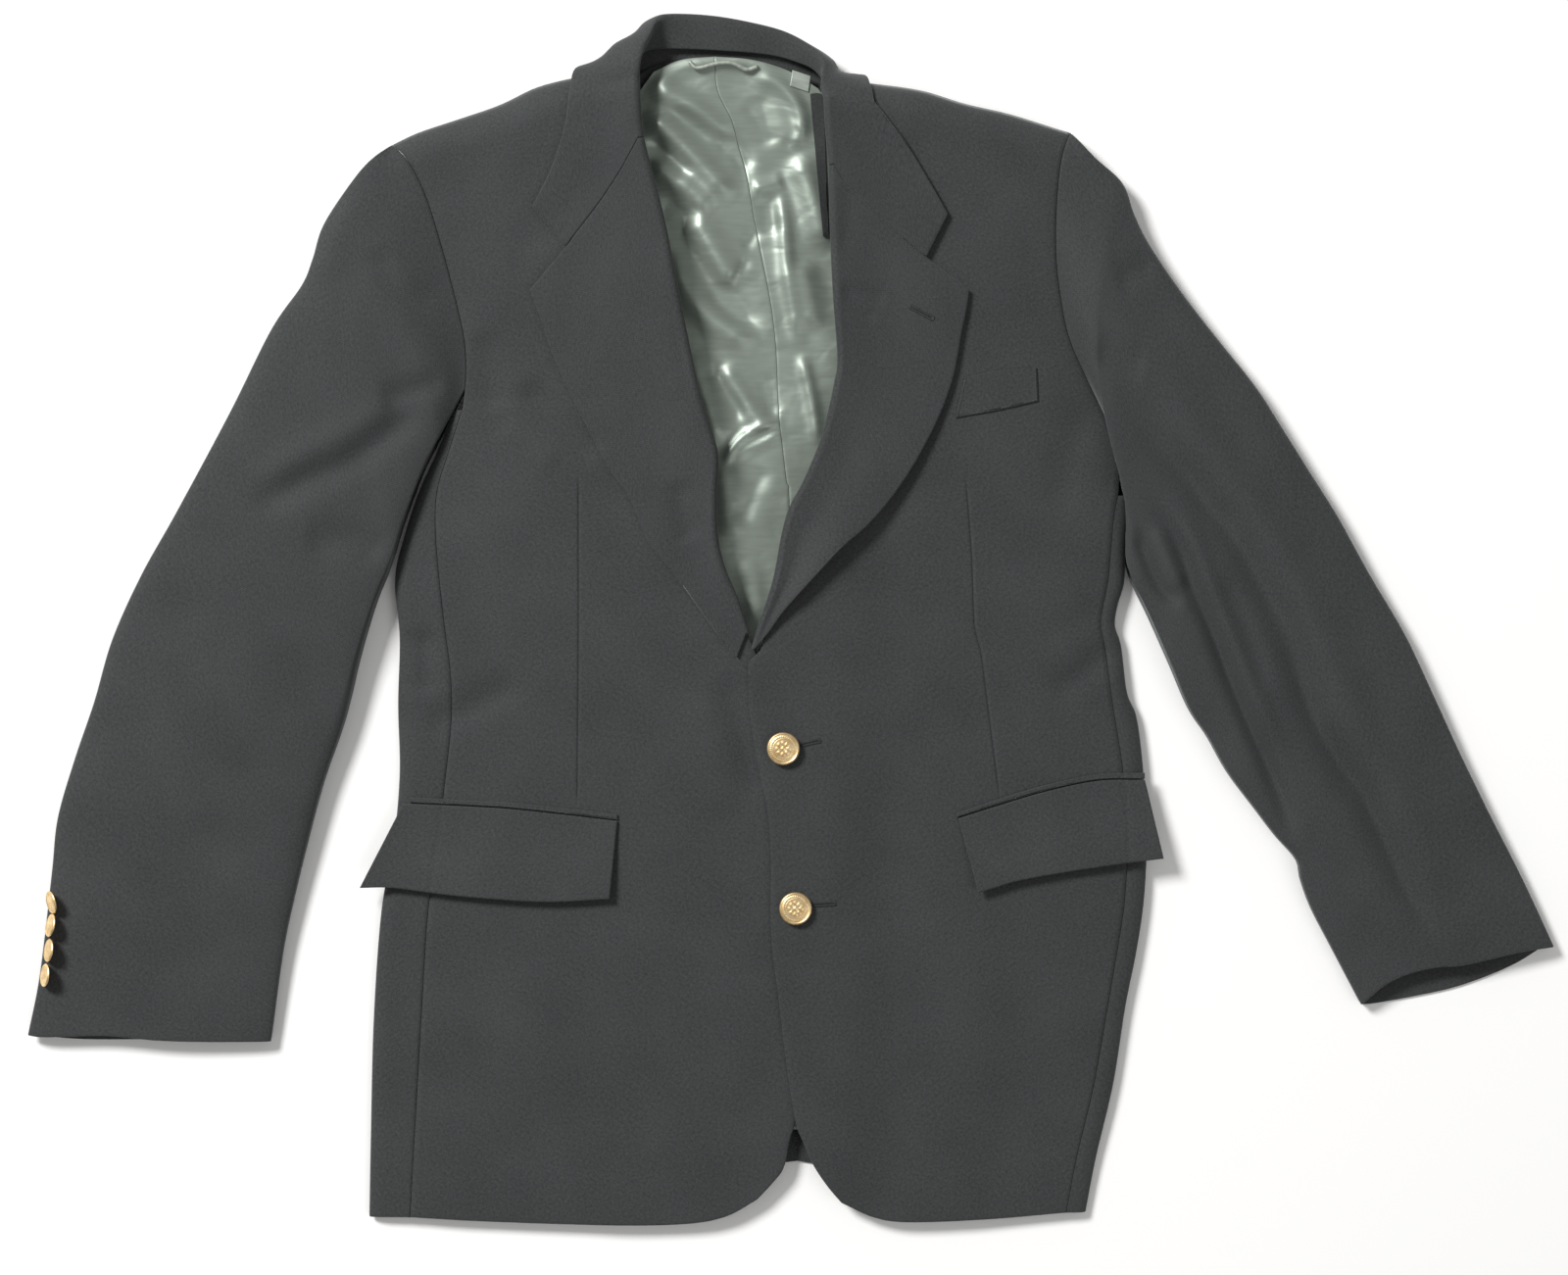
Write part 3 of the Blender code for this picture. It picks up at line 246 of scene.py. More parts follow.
def spline(points, count=None, at=None):
    """Points along a smooth curve, at even steps or at the given shares of its length."""
    pts = np.array(points, float)
    ends = np.vstack([2 * pts[0] - pts[1], pts, 2 * pts[-1] - pts[-2]])
    t = np.linspace(0, 1, SPAN_STEPS, endpoint=False)[:, None]
    rows = []
    for p0, p1, p2, p3 in zip(ends[:-3], ends[1:-2], ends[2:-1], ends[3:]):
        rows.append(0.5 * (2 * p1 + (p2 - p0) * t + (2 * p0 - 5 * p1 + 4 * p2 - p3) * t**2
                           + (3 * p1 - p0 - 3 * p2 + p3) * t**3))
    dense = np.vstack(rows + [pts[-1:]])
    return along(dense, np.linspace(0, 1, count) if at is None else at)


def joined(*lines):
    """Several curves end to end, each sampled finely."""
    parts = [spline(line, FINE_STEPS) for line in lines]
    return np.vstack([parts[0]] + [part[1:] for part in parts[1:]])


def coons(start, end, left, right):
    """Grid between four curves: start and end run across, left and right run along."""
    u = run_along(start)
    u = (u / u[-1])[None, :, None]
    v = run_along(left)
    v = (v / v[-1])[:, None, None]
    flat = (1 - v) * ((1 - u) * start[0] + u * start[-1]) + v * ((1 - u) * end[0] + u * end[-1])
    return (1 - u) * left[:, None] + u * right[:, None] + (1 - v) * start[None] + v * end[None] - flat


def nearest(xy, line):
    """Distance from each point to a line through points, and how far along the line the nearest place is."""
    flat = xy.reshape(-1, 2)
    start, step = line[:-1], line[1:] - line[:-1]
    share = ((flat[:, None] - start) * step).sum(2) / (step**2).sum(1)
    share = np.clip(share, 0, 1)
    gaps = ((flat[:, None] - start - share[..., None] * step) ** 2).sum(2)
    where = gaps.argmin(1)
    each = np.arange(len(flat))
    place = (where + share[each, where]) / len(step)
    return np.sqrt(gaps[each, where]).reshape(xy.shape[:-1]), place.reshape(xy.shape[:-1])


def distance(xy, line):
    """Distance from each point to a line through points."""
    return nearest(xy, line)[0]


def smooth(x):
    """Soft step from 0 to 1."""
    x = np.clip(x, 0, 1)
    return x * x * (3 - 2 * x)


def column(table, y, which):
    """One column of a table at y, between its rows."""
    rows = np.array(table, float)
    return np.interp(y, rows[:, 0], rows[:, which])


def by_height(line, y):
    """The line's x at y."""
    order = np.argsort(line[:, 1])
    return np.interp(y, line[order, 1], line[order, 0])


def offset_line(line, by):
    """Curve moved sideways: to its left for a positive amount."""
    step = np.gradient(line, axis=0)
    step /= np.linalg.norm(step, axis=1, keepdims=True)
    return line + by * np.stack([-step[:, 1], step[:, 0]], 1)


def deep(grid, z):
    """The flat grid with heights."""
    return np.concatenate([grid, np.asarray(z)[..., None]], -1)


def normals(grid):
    """Unit vectors square to the cloth."""
    n = np.cross(np.gradient(grid, axis=1), np.gradient(grid, axis=0))
    return n / np.maximum(np.linalg.norm(n, axis=2, keepdims=True), TINY)


def inset(grid, sides=(1, 1, 1, 1), by=SEAM_GAP):
    """The grid drawn back from its neighbours: start, end, left, right."""
    grid = grid.copy()
    for on, at, inner in zip(sides, ((0,), (-1,), (slice(None), 0), (slice(None), -1)),
                             ((1,), (-2,), (slice(None), 1), (slice(None), -2))):
        if on:
            step = grid[inner] - grid[at]
            grid[at] = grid[at] + by * step / np.linalg.norm(step, axis=-1, keepdims=True)
    return grid


# Heights
RIGHT_LIMIT = joined(RIGHT_SIDE, RIGHT_ARMHOLE)
LEFT_LIMIT = joined(LEFT_SIDE, LEFT_ARMHOLE)
SHOULDERS = [spline(RIGHT_SHOULDER, 40), spline(LEFT_SHOULDER, 40)]


def creases(xy, table):
    """Soft troughs and ridges along curves, each dying away at its ends."""
    total = np.zeros(xy.shape[:-1])
    for points, wide, high in table:
        far, share = nearest(xy, spline(points, CREASE_STEPS))
        ends = smooth(share / CREASE_FADE) * smooth((1 - share) / CREASE_FADE)
        total += high * np.exp(-((far / wide) ** 2)) * ends
    return total


def waves(xy, size):
    """Slow unevenness between -1 and 1."""
    x, y = xy[..., 0] / size, xy[..., 1] / size
    total = sum(weight * np.sin(across * x + up * y + phase) for across, up, phase, weight in WAVES)
    return total / sum(weight for *_, weight in WAVES)


def from_shoulder(xy):
    """Distance from the nearer folded shoulder."""
    return np.minimum(distance(xy, SHOULDERS[0]), distance(xy, SHOULDERS[1]))


def body_height(xy):
    """Upper surface of the body: low at the sides, higher to the middle, folded down at the shoulders."""
    x, y = xy[..., 0], xy[..., 1]
    low, high = by_height(RIGHT_LIMIT, y), by_height(LEFT_LIMIT, y)
    place = np.clip((x - low) / (high - low), 0, 1)
    side, middle = column(BODY_HEIGHT, y, 1), column(BODY_HEIGHT, y, 2)
    top = side + (middle - side) * (1 - np.abs(2 * place - 1) ** BODY_SHAPE)
    fold = np.clip(from_shoulder(xy) / SHOULDER_FOLD, 0, 1)
    return SHOULDER_EDGE + (top - SHOULDER_EDGE) * np.sqrt(1 - (1 - fold) ** 2)


def lap(xy):
    """Extra height of the left front where it lies over the right."""
    x, y = xy[..., 0], xy[..., 1]
    return LAP_LIFT * smooth((LAP_FADE - x) / LAP_WIDTH) * smooth((y - LAP_FOOT) / LAP_RISE)


def drape(xy):
    """Creases and unevenness of the body's upper cloth, none at the folded shoulders."""
    fold = smooth(from_shoulder(xy) / SHOULDER_FOLD)
    made = CREASE_GAIN * creases(xy, BODY_CREASES) + creases(xy, SEAM_TROUGHS)
    return fold * (made + BODY_WAVE * waves(xy, BODY_WAVE_SIZE))


def body_surface(xy, lapped):
    """Upper side of the body's cloth. Lapped is 1 on the left front and 0 elsewhere."""
    return body_height(xy) + SEAM_GAP + lapped * lap(xy) + drape(xy)


# Meshes
RIM_ARC = np.radians([90, 54, 18, -18, -54, -90])
TINY = 1e-9  # keeps a vector without length from being divided by zero
STEEP = 0.02  # a normal's rise, below which the cloth's wall goes straight down


def cloth_map(grid):
    """Place on the flat cloth in millimetres: across and along the grain."""
    middle = grid.shape[1] // 2
    steps = np.linalg.norm(np.diff(grid, axis=1), axis=2)
    across = np.concatenate([np.zeros((len(grid), 1)), np.cumsum(steps, axis=1)], 1)
    across -= across[:, middle:middle + 1]
    down = run_along(grid[:, middle])
    return np.stack([across, np.repeat(down[:, None], grid.shape[1], 1)], 2)


def rim_of(rows, columns):
    """Indices round the grid's edge, with the side that each belongs to."""
    start = [(0, j) for j in range(columns)]
    right = [(i, columns - 1) for i in range(1, rows)]
    end = [(rows - 1, j) for j in range(columns - 2, -1, -1)]
    left = [(i, 0) for i in range(rows - 2, 0, -1)]
    return np.array(start + right + end + left)


def outward(outer, rim, rows, columns):
    """Unit vectors out of the cloth at its edge."""
    total = np.zeros((len(rim), 3))
    i, j = rim[:, 0], rim[:, 1]
    sides = (i == 0, i == rows - 1, j == 0, j == columns - 1)
    for on, (down, across) in zip(sides, ((1, 0), (-1, 0), (0, 1), (0, -1))):
        away = outer[i[on], j[on]] - outer[i[on] + down, j[on] + across]
        total[on] += away / np.maximum(np.linalg.norm(away, axis=1, keepdims=True), TINY)
    return total


def edge_width(rim, rows, columns, edges):
    """Rounding at each point of the edge: start, end, left, right."""
    i, j = rim[:, 0], rim[:, 1]
    width = np.full(len(rim), float(max(edges)))
    for on, edge in zip((i == 0, i == rows - 1, j == 0, j == columns - 1), edges):
        width[on] = np.minimum(width[on], edge)
    return width


def build(name, points, faces, stuff, uv=None):
    """Smooth mesh object in metres, from points in millimetres."""
    mesh = bpy.data.meshes.new(name)
    mesh.from_pydata((np.asarray(points) * MM).tolist(), [], faces)
    mesh.materials.append(stuff)
    mesh.polygons.foreach_set("use_smooth", np.ones(len(mesh.polygons), bool))
    if uv is not None:
        layer = mesh.uv_layers.new(name="cloth")
        corners = np.empty(len(mesh.loops), np.int32)
        mesh.loops.foreach_get("vertex_index", corners)
        layer.data.foreach_set("uv", np.asarray(uv, np.float32)[corners].ravel())
    mesh.update()
    obj = bpy.data.objects.new(name, mesh)
    bpy.context.scene.collection.objects.link(obj)
    return obj


def shell(name, outer, inner, stuff, edges):
    """Closed cloth between two grids, with its edges rounded off."""
    rows, columns = outer.shape[:2]
    size = rows * columns
    rim = rim_of(rows, columns)
    flat_rim = rim[:, 0] * columns + rim[:, 1]
    uv = cloth_map(outer).reshape(-1, 2)
    top, bottom = outer.reshape(-1, 3).copy(), inner.reshape(-1, 3).copy()
    middle, half = (top[flat_rim] + bottom[flat_rim]) / 2, (top[flat_rim] - bottom[flat_rim]) / 2
    up = half / np.linalg.norm(half, axis=1, keepdims=True)
    out = outward(outer, rim, rows, columns)
    out -= (out * up).sum(1, keepdims=True) * up
    out /= np.maximum(np.linalg.norm(out, axis=1, keepdims=True), TINY)
    width = edge_width(rim, rows, columns, edges)[:, None]
    rings = [middle + half * math.sin(a) + out * width * (math.cos(a) - 1) for a in RIM_ARC]
    top[flat_rim], bottom[flat_rim] = rings[0], rings[-1]
    index = np.arange(size).reshape(rows, columns)
    quads = np.stack([index[:-1, :-1], index[:-1, 1:], index[1:, 1:], index[1:, :-1]], -1).reshape(-1, 4)
    count = len(rim)
    bands = [flat_rim] + [2 * size + k * count + np.arange(count) for k in range(len(RIM_ARC) - 2)]
    bands.append(size + flat_rim)
    faces = [quads, size + quads[:, ::-1]]
    for upper, lower in zip(bands[:-1], bands[1:]):
        faces.append(np.stack([np.roll(upper, -1), upper, lower, np.roll(lower, -1)], 1))
    faces = np.vstack(faces)
    points = np.vstack([top, bottom, *rings[1:-1]])
    corners = points[faces]
    volume = np.einsum("ij,ij->", corners[:, 0], np.cross(corners[:, 1], corners[:, 2]))
    volume += np.einsum("ij,ij->", corners[:, 0], np.cross(corners[:, 2], corners[:, 3]))
    if volume < 0:
        faces = faces[:, ::-1]
    uvs = np.vstack([uv, uv] + [uv[flat_rim]] * (len(RIM_ARC) - 2))
    return build(name, points, faces.tolist(), stuff, uvs)


def directed(outer, level):
    """Upward normals, turned into the horizontal by level where cloth meets its neighbour over a fold."""
    up = normals(outer)
    up *= np.sign(np.median(up[..., 2]))
    up[(up[..., 2] <= STEEP) & (level < 0.5)] = (0, 0, 1)
    up[..., 2] *= 1 - level
    return up / np.linalg.norm(up, axis=2, keepdims=True)


def sheet(name, flat, heights, thickness, stuff, inward, edges, level=None):
    """Cloth over a flat grid, with its thickness down (inward -1) or up (1)."""
    outer = deep(flat, heights)
    level = np.zeros(flat.shape[:2]) if level is None else level
    return shell(name, outer, outer + inward * thickness * directed(outer, level), stuff, edges)


def level_at(grid, end=0, left=0, right=0):
    """How far the wall turns level at the end and the two long edges: 0 not at all, 1 wholly."""
    level = np.zeros(grid.shape[:2])
    level[:, 0] = np.maximum(level[:, 0], left)
    level[:, -1] = np.maximum(level[:, -1], right)
    level[-1] = np.maximum(level[-1], end)
    return level


# Materials
def new_material(name, colour):
    """Material with its nodes, its links and its shader."""
    made = bpy.data.materials.new(name)
    made.use_nodes = True
    made.diffuse_color = (*colour, 1)
    nodes, links = made.node_tree.nodes, made.node_tree.links
    return made, nodes, links, nodes["Principled BSDF"]


def add_node(nodes, kind, **values):
    """Node with its inputs and settings."""
    node = nodes.new(kind)
    for key, value in values.items():
        if key in node.inputs:
            node.inputs[key].default_value = value
        else:
            setattr(node, key, value)
    return node


def set_inputs(node, values):
    """Set several of a node's unlinked inputs."""
    for key, value in values.items():
        node.inputs[key].default_value = value


def mixed(nodes, links, first, second, share):
    """Two textures' values, with the given share of the second."""
    mix = add_node(nodes, "ShaderNodeMix", data_type="FLOAT")
    mix.inputs[0].default_value = share
    links.new(first, mix.inputs[2])
    links.new(second, mix.inputs[3])
    return mix.outputs[0]


def coloured(nodes, links, value, shader, low, high, dark, light):
    """Base colour that goes from dark to light between two of the texture's values."""
    ramp = add_node(nodes, "ShaderNodeValToRGB")
    for stop, place, colour in zip(ramp.color_ramp.elements, (low, high), (dark, light)):
        stop.position = place
        stop.color = (*colour, 1)
    links.new(value, ramp.inputs["Fac"])
    links.new(ramp.outputs["Color"], shader.inputs["Base Color"])


def bumped(nodes, links, value, strength, depth):
    """Bump from a texture's value, as deep as given in metres."""
    bump = add_node(nodes, "ShaderNodeBump", Strength=strength, Distance=depth)
    links.new(value, bump.inputs["Height"])
    return bump


def wool(name, dark, light, grain):
    """Fine twill: diagonal wales, mixed fibres and a slightly uneven nap. Grain turns the wales."""
    made, nodes, links, shader = new_material(name, light)
    place = add_node(nodes, "ShaderNodeUVMap", uv_map="cloth")
    turned = add_node(nodes, "ShaderNodeMapping", Rotation=(0, 0, math.radians(grain)))
    links.new(place.outputs["UV"], turned.inputs["Vector"])
    wale = add_node(nodes, "ShaderNodeTexWave", Scale=0.32, Distortion=0.6, Detail=1.0)
    thread = add_node(nodes, "ShaderNodeTexNoise", Scale=2.4, Detail=2.0, Roughness=0.7)
    fibre = add_node(nodes, "ShaderNodeTexNoise", Scale=0.55, Detail=3.0, Roughness=0.65)
    patch = add_node(nodes, "ShaderNodeTexNoise", Scale=0.02, Detail=2.0)
    for texture in (wale, thread, fibre, patch):
        links.new(turned.outputs["Vector"], texture.inputs["Vector"])
    fine = mixed(nodes, links, fibre.outputs["Fac"], thread.outputs["Fac"], 0.55)
    uneven = mixed(nodes, links, fine, patch.outputs["Fac"], 0.12)
    coloured(nodes, links, uneven, shader, 0.34, 0.68, dark, light)
    relief = mixed(nodes, links, wale.outputs["Fac"], thread.outputs["Fac"], 0.5)
    bump = bumped(nodes, links, relief, 0.35, 0.00025)
    links.new(bump.outputs["Normal"], shader.inputs["Normal"])
    set_inputs(shader, {"Roughness": 0.78, "Specular IOR Level": 0.3, "Sheen Weight": 0.25,
                        "Sheen Roughness": 0.45, "Sheen Tint": (0.75, 0.8, 0.8, 1)})
    return made


def satin(name, dark, light, rough):
    """Close shiny weave: fine crosswise threads over soft crumples."""
    made, nodes, links, shader = new_material(name, light)
    place = add_node(nodes, "ShaderNodeUVMap", uv_map="cloth")
    stretched = add_node(nodes, "ShaderNodeMapping", Scale=(0.2, 1.6, 1))
    drawn_out = add_node(nodes, "ShaderNodeMapping", Rotation=(0, 0, math.radians(-35)), Scale=(0.9, 1.5, 1))
    rib = add_node(nodes, "ShaderNodeTexWave", Scale=0.7, Distortion=0.4, bands_direction="Y")
    slub = add_node(nodes, "ShaderNodeTexNoise", Scale=0.25, Detail=3.0)
    crumple = add_node(nodes, "ShaderNodeTexNoise", Scale=0.05, Detail=1.5, Roughness=0.45, Distortion=0.5)
    for node in (rib, stretched, drawn_out):
        links.new(place.outputs["UV"], node.inputs["Vector"])
    links.new(stretched.outputs["Vector"], slub.inputs["Vector"])
    links.new(drawn_out.outputs["Vector"], crumple.inputs["Vector"])
    coloured(nodes, links, slub.outputs["Fac"], shader, 0.35, 0.7, dark, light)
    ribs = bumped(nodes, links, rib.outputs["Fac"], 0.05, 0.0001)
    soft = bumped(nodes, links, crumple.outputs["Fac"], 0.4, 0.0022)
    links.new(soft.outputs["Normal"], ribs.inputs["Normal"])
    links.new(ribs.outputs["Normal"], shader.inputs["Normal"])
    set_inputs(shader, {"Roughness": rough, "Specular IOR Level": 0.9, "Metallic": 0.55, "Sheen Weight": 0.2})
    return made


def mottled(name, base, patches, rough, metallic):
    """Surface a little darker and duller in patches."""
    made, nodes, links, shader = new_material(name, base)
    place = add_node(nodes, "ShaderNodeTexCoord")
    mottle = add_node(nodes, "ShaderNodeTexNoise", Scale=260.0, Detail=4.0)
    links.new(place.outputs["Object"], mottle.inputs["Vector"])
    coloured(nodes, links, mottle.outputs["Fac"], shader, 0.35, 0.65, patches, base)
    shade = add_node(nodes, "ShaderNodeMapRange")
    set_inputs(shade, {"To Min": rough + 0.14, "To Max": rough})
    links.new(mottle.outputs["Fac"], shade.inputs["Value"])
    links.new(shade.outputs["Result"], shader.inputs["Roughness"])
    shader.inputs["Metallic"].default_value = metallic
    return made


WOOL_DARK, WOOL_LIGHT = (0.010, 0.011, 0.011), (0.062, 0.064, 0.065)
SATIN_DARK, SATIN_LIGHT = (0.235, 0.275, 0.233), (0.265, 0.308, 0.266)
wool_cloth = wool("charcoal_wool", WOOL_DARK, WOOL_LIGHT, 35)
lapel_cloth = wool("charcoal_wool_lapel", WOOL_DARK, WOOL_LIGHT, 55)
satin_cloth = satin("satin_lining", SATIN_DARK, SATIN_LIGHT, 0.44)
cord_cloth = satin("satin_cord", (0.30, 0.34, 0.29), (0.46, 0.49, 0.42), 0.42)
label_cloth = satin("label_weave", (0.28, 0.32, 0.28), (0.42, 0.46, 0.41), 0.5)
gold = mottled("button_gold", (0.96, 0.74, 0.42), (0.72, 0.50, 0.24), 0.34, 1.0)
thread_stuff = mottled("buttonhole_thread", (0.020, 0.021, 0.021), (0.012, 0.013, 0.013), 0.5, 0.0)


def attach(piece, node):
    """The piece rides with the garment and stands for a node, if it has one."""
    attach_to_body(piece, "root")
    if node:
        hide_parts(node)


def attach_cloth(piece, node, slot, cut, area, rests_on=()):
    """The same for a sheet; its flat size and area in metres are not used."""
    attach(piece, node)


# Fronts
FRONT_ROWS = np.concatenate([np.linspace(0, 0.93, 210), np.linspace(0.93, 1, 22)[1:]])
FRONT_ACROSS = np.linspace(0, 1, 61)
NEAR_DART = (-4.0, -2.6, -1.7, -1.1, -0.7, -0.35, 0.0, 0.35, 0.7, 1.1, 1.7, 2.6, 4.0)  # closer columns
DART_SPACE = 1.3  # the even columns stay this many times the closer ones' reach away
DART_DEPTH, DART_WIDTH = 0.9, 0.75
DART_TOP_FADE, DART_FOOT_FADE, DART_FOOT = 0.06, 0.03, 0.4  # shares of its length, and its depth at the foot
RIGHT_DART = [(-138, 95), (-138, 42), (-138, -10), (-139, -117)]
LEFT_DART = [(114, 94), (118, 43), (120, -5), (124, -20), (129, -58), (132, -82), (136, -113)]


def front_grid(side, seam, armhole, edge, roll, neck, hem, shoulder):
    """Front from hem to shoulder, between its side seam and its front edge. Side is 1 right, -1 left."""
    outer = along(joined(seam, armhole), FRONT_ROWS)
    rolled = offset_line(spline(roll + neck[1:], 80), side * ROLL_CLEAR)
    inner = along(np.vstack([spline(edge, FINE_STEPS), rolled[2:], shoulder[-1:]]), FRONT_ROWS)
    return coons(spline(hem, at=FRONT_ACROSS), spline(shoulder, at=FRONT_ACROSS), outer, inner)


def with_dart(grid, dart):
    """The grid's columns drawn together along the dart, so that its narrow trough has points of its own."""
    dart = np.array(dart, float)
    dart = dart[np.argsort(dart[:, 1])]
    runs, places = [], []
    for row in grid:
        run = run_along(row)
        off = row[:, 0] - np.interp(row[:, 1], dart[:, 1], dart[:, 0])
        off *= np.sign(off[-1] - off[0])
        runs.append(run)
        places.append(np.interp(0, off, run))
    middle = np.mean([place / run[-1] for place, run in zip(places, runs)])
    reach = NEAR_DART[-1] / np.mean([run[-1] for run in runs])
    even = FRONT_ACROSS[np.abs(FRONT_ACROSS - middle) > DART_SPACE * reach]
    shares = np.sort(np.concatenate([even, middle + np.array(NEAR_DART) / NEAR_DART[-1] * reach]))
    made = []
    for row, run, place in zip(grid, runs, places):
        stops = [0, place - NEAR_DART[-1], place + NEAR_DART[-1], run[-1]]
        at = np.interp(shares, [0, middle - reach, middle + reach, 1], stops)
        made.append(np.stack([np.interp(at, run, row[:, k]) for k in (0, 1)], 1))
    return np.array(made)


right_front = front_grid(1, RIGHT_SEAM, RIGHT_ARMHOLE, RIGHT_EDGE, RIGHT_ROLL, RIGHT_NECK_EDGE, RIGHT_HEM,
                         RIGHT_SHOULDER)
left_front = front_grid(-1, LEFT_SEAM, LEFT_ARMHOLE, LEFT_EDGE, LEFT_ROLL, LEFT_NECK_EDGE, LEFT_HEM,
                        LEFT_SHOULDER)


def front(name, grid, lapped, dart, cut, area):
    """One front, with its dart sewn in."""
    drawn = inset(with_dart(grid, dart))
    far, share = nearest(drawn, spline(dart, 30))
    ends = smooth(share / DART_TOP_FADE) * smooth((1 - share) / DART_FOOT_FADE + DART_FOOT)
    heights = body_surface(drawn, lapped) - DART_DEPTH * ends * np.exp(-((far / DART_WIDTH) ** 2))
    level = level_at(drawn, end=smooth(SHOULDER_MEET - from_shoulder(drawn[-1])))
    edges = (FREE_EDGE, SEWN_EDGE, SEWN_EDGE, FREE_EDGE)
    piece = sheet(name, drawn, heights, CLOTH, wool_cloth, -1, edges, level)
    attach_cloth(piece, name, "charcoal_wool", cut, area)


front("front_right", right_front, 0, RIGHT_DART, (0.29, 0.79), 0.151)
front("front_left", left_front, 1, LEFT_DART, (0.27, 0.78), 0.144)

# Side panels, from the front seam over the folded side to the back seam beneath
SIDE_TOP, SIDE_ARC, SIDE_UNDER = 9, 15, 8  # points across the top, round the fold and beneath
SIDE_FOLD, SIDE_SHARE = 12.0, 0.75  # radius of the folded side, at most this share of what shows
UNDER_SIDE, UNDER_TOP, UNDER_TAPER = 47.0, 5.0, 120.0  # reach beneath at the hem and the armhole, the taper
SEAM_BEND = 5  # power of the curve that the back seam follows
HEIGHT_SPAN = 400  # keeps that curve's terms near 1
ARC = np.radians(np.linspace(90, -90, SIDE_ARC))


def side_stations(fold, seam, line, inward):
    """Rows up the side, on the front's own rows: y, fold x, seam x, fold radius and the back seam's x."""
    fold = spline(fold, 200)
    rows = line[line[:, 1] <= seam[-1][1] + 0.5]
    y, sewn = rows[:, 1], rows[:, 0]
    edge = by_height(fold, y)
    radius = np.minimum(SIDE_FOLD, SIDE_SHARE * np.abs(sewn - edge))
    under = UNDER_TOP + (UNDER_SIDE - UNDER_TOP) * (1 - smooth((y - y[-1]) / UNDER_TAPER + 1))
    scaled = y / HEIGHT_SPAN
    back = np.polyval(np.polyfit(scaled, edge + inward * (radius + under), SEAM_BEND), scaled)
    return y, edge, sewn, radius, back


def side_panel(name, fold, seam, line, inward, cut, area):
    """One side panel. Inward is 1 on the right and -1 on the left."""
    rows = []
    for y, edge, sewn, radius, back in zip(*side_stations(fold, seam, line, inward)):
        turn = edge + inward * radius
        xs = np.linspace(sewn - inward * SEAM_GAP, turn, SIDE_TOP)[:-1]
        tops = body_surface(np.stack([xs, np.full(len(xs), y)], 1), 0)
        here = np.array([[turn, y]])
        high, extra = float(body_height(here)[0]), float(drape(here)[0])
        path = list(zip(xs, tops))
        for a in ARC:
            lift = (1 + math.sin(a)) / 2
            z = high * lift + extra * lift**3 + SEAM_GAP * lift
            path.append((turn - inward * radius * math.cos(a), z))
        path += [(turn + (back - turn) * k / SIDE_UNDER, 0) for k in range(1, SIDE_UNDER + 1)]
        rows.append([(x, y, z) for x, z in path])
    outer = np.array(rows)
    out = -inward * normals(outer)
    out[(outer[..., 2] < SEAM_GAP) & (out[..., 2] > -0.5)] = (0, 0, -1)  # flat on the table
    edges = (FREE_EDGE, SEWN_EDGE, SEWN_EDGE, HIDDEN_EDGE)
    piece = shell(name, outer, outer - CLOTH * out, wool_cloth, edges)
    attach_cloth(piece, name, "charcoal_wool", cut, area)


side_panel("side_right", RIGHT_SIDE, RIGHT_SEAM, right_front[:, 0], 1, (0.10, 0.54), 0.044)
side_panel("side_left", LEFT_SIDE, LEFT_SEAM, left_front[:, 0], -1, (0.08, 0.48), 0.031)

# Backs
BACK_ACROSS = np.linspace(0, 1, 33)
BACK_CLEAR = 0.5  # from the side panel's back edge and the sleeve
NECK_RAISE, NECK_REACH, NECK_FADE = 2.6, 75.0, 22.0  # lift over the collar's fall, its reach and its slope
NECK_POINTS = spline([(-120, 366), (-98, 385), (-45, 388), (3, 374), (34, 362)], 24)


def back_height(xy):
    """Underside of the back: on the table, raised over the collar's fall, folded up at the shoulders."""
    raised = NECK_RAISE * smooth((NECK_REACH - distance(xy, NECK_POINTS)) / NECK_FADE)
    fold = np.clip(from_shoulder(xy) / SHOULDER_FOLD, 0, 1)
    return raised + (SHOULDER_EDGE - raised) * (1 - np.sqrt(1 - (1 - fold) ** 2))


def back_grid(fold, seam, line, inward, hem, shoulder, neck_end):
    """Half of the back, from the back seam beneath to the centre seam."""
    seam_x = side_stations(fold, seam, line, inward)[-1]
    outer = line.copy()
    outer[: len(seam_x), 0] = seam_x
    top = along(np.vstack([spline(shoulder[:-1], 40), spline(neck_end, 20)[1:]]), BACK_ACROSS)
    bottom = spline([tuple(outer[0]), *hem], at=BACK_ACROSS)
    return coons(bottom, top, outer, spline(BACK_CENTRE, at=FRONT_ROWS))


def back(name, grid, cut, area):
    """Half of the back, lying on the table."""
    drawn = inset(inset(grid[::2]), (0, 0, 1, 0), BACK_CLEAR)
    level = level_at(drawn, end=smooth(SHOULDER_MEET - from_shoulder(drawn[-1])))
    low = np.maximum(back_height(drawn) - SEAM_GAP, 0)
    edges = (FREE_EDGE, FOLD_EDGE, HIDDEN_EDGE, TRIM_EDGE)
    piece = sheet(name, drawn, low, BACK_CLOTH, wool_cloth, 1, edges, level)
    attach_cloth(piece, name, "charcoal_wool", cut, area)


right_back = back_grid(RIGHT_SIDE, RIGHT_SEAM, right_front[:, 0], 1, [(-130, -371), (4, -355)],
                       RIGHT_SHOULDER, [(-128, 356), (-113, 350), (-90, 362), (-60, 368), (-38, 368)])
left_back = back_grid(LEFT_SIDE, LEFT_SEAM, left_front[:, 0], -1, [(90, -367), (4, -355)], LEFT_SHOULDER,
                      [(61, 349), (40, 338), (20, 342), (-12, 362), (-38, 368)])
back("back_right", right_back, (0.26, 0.76), 0.148)
back("back_left", left_back, (0.23, 0.75), 0.131)

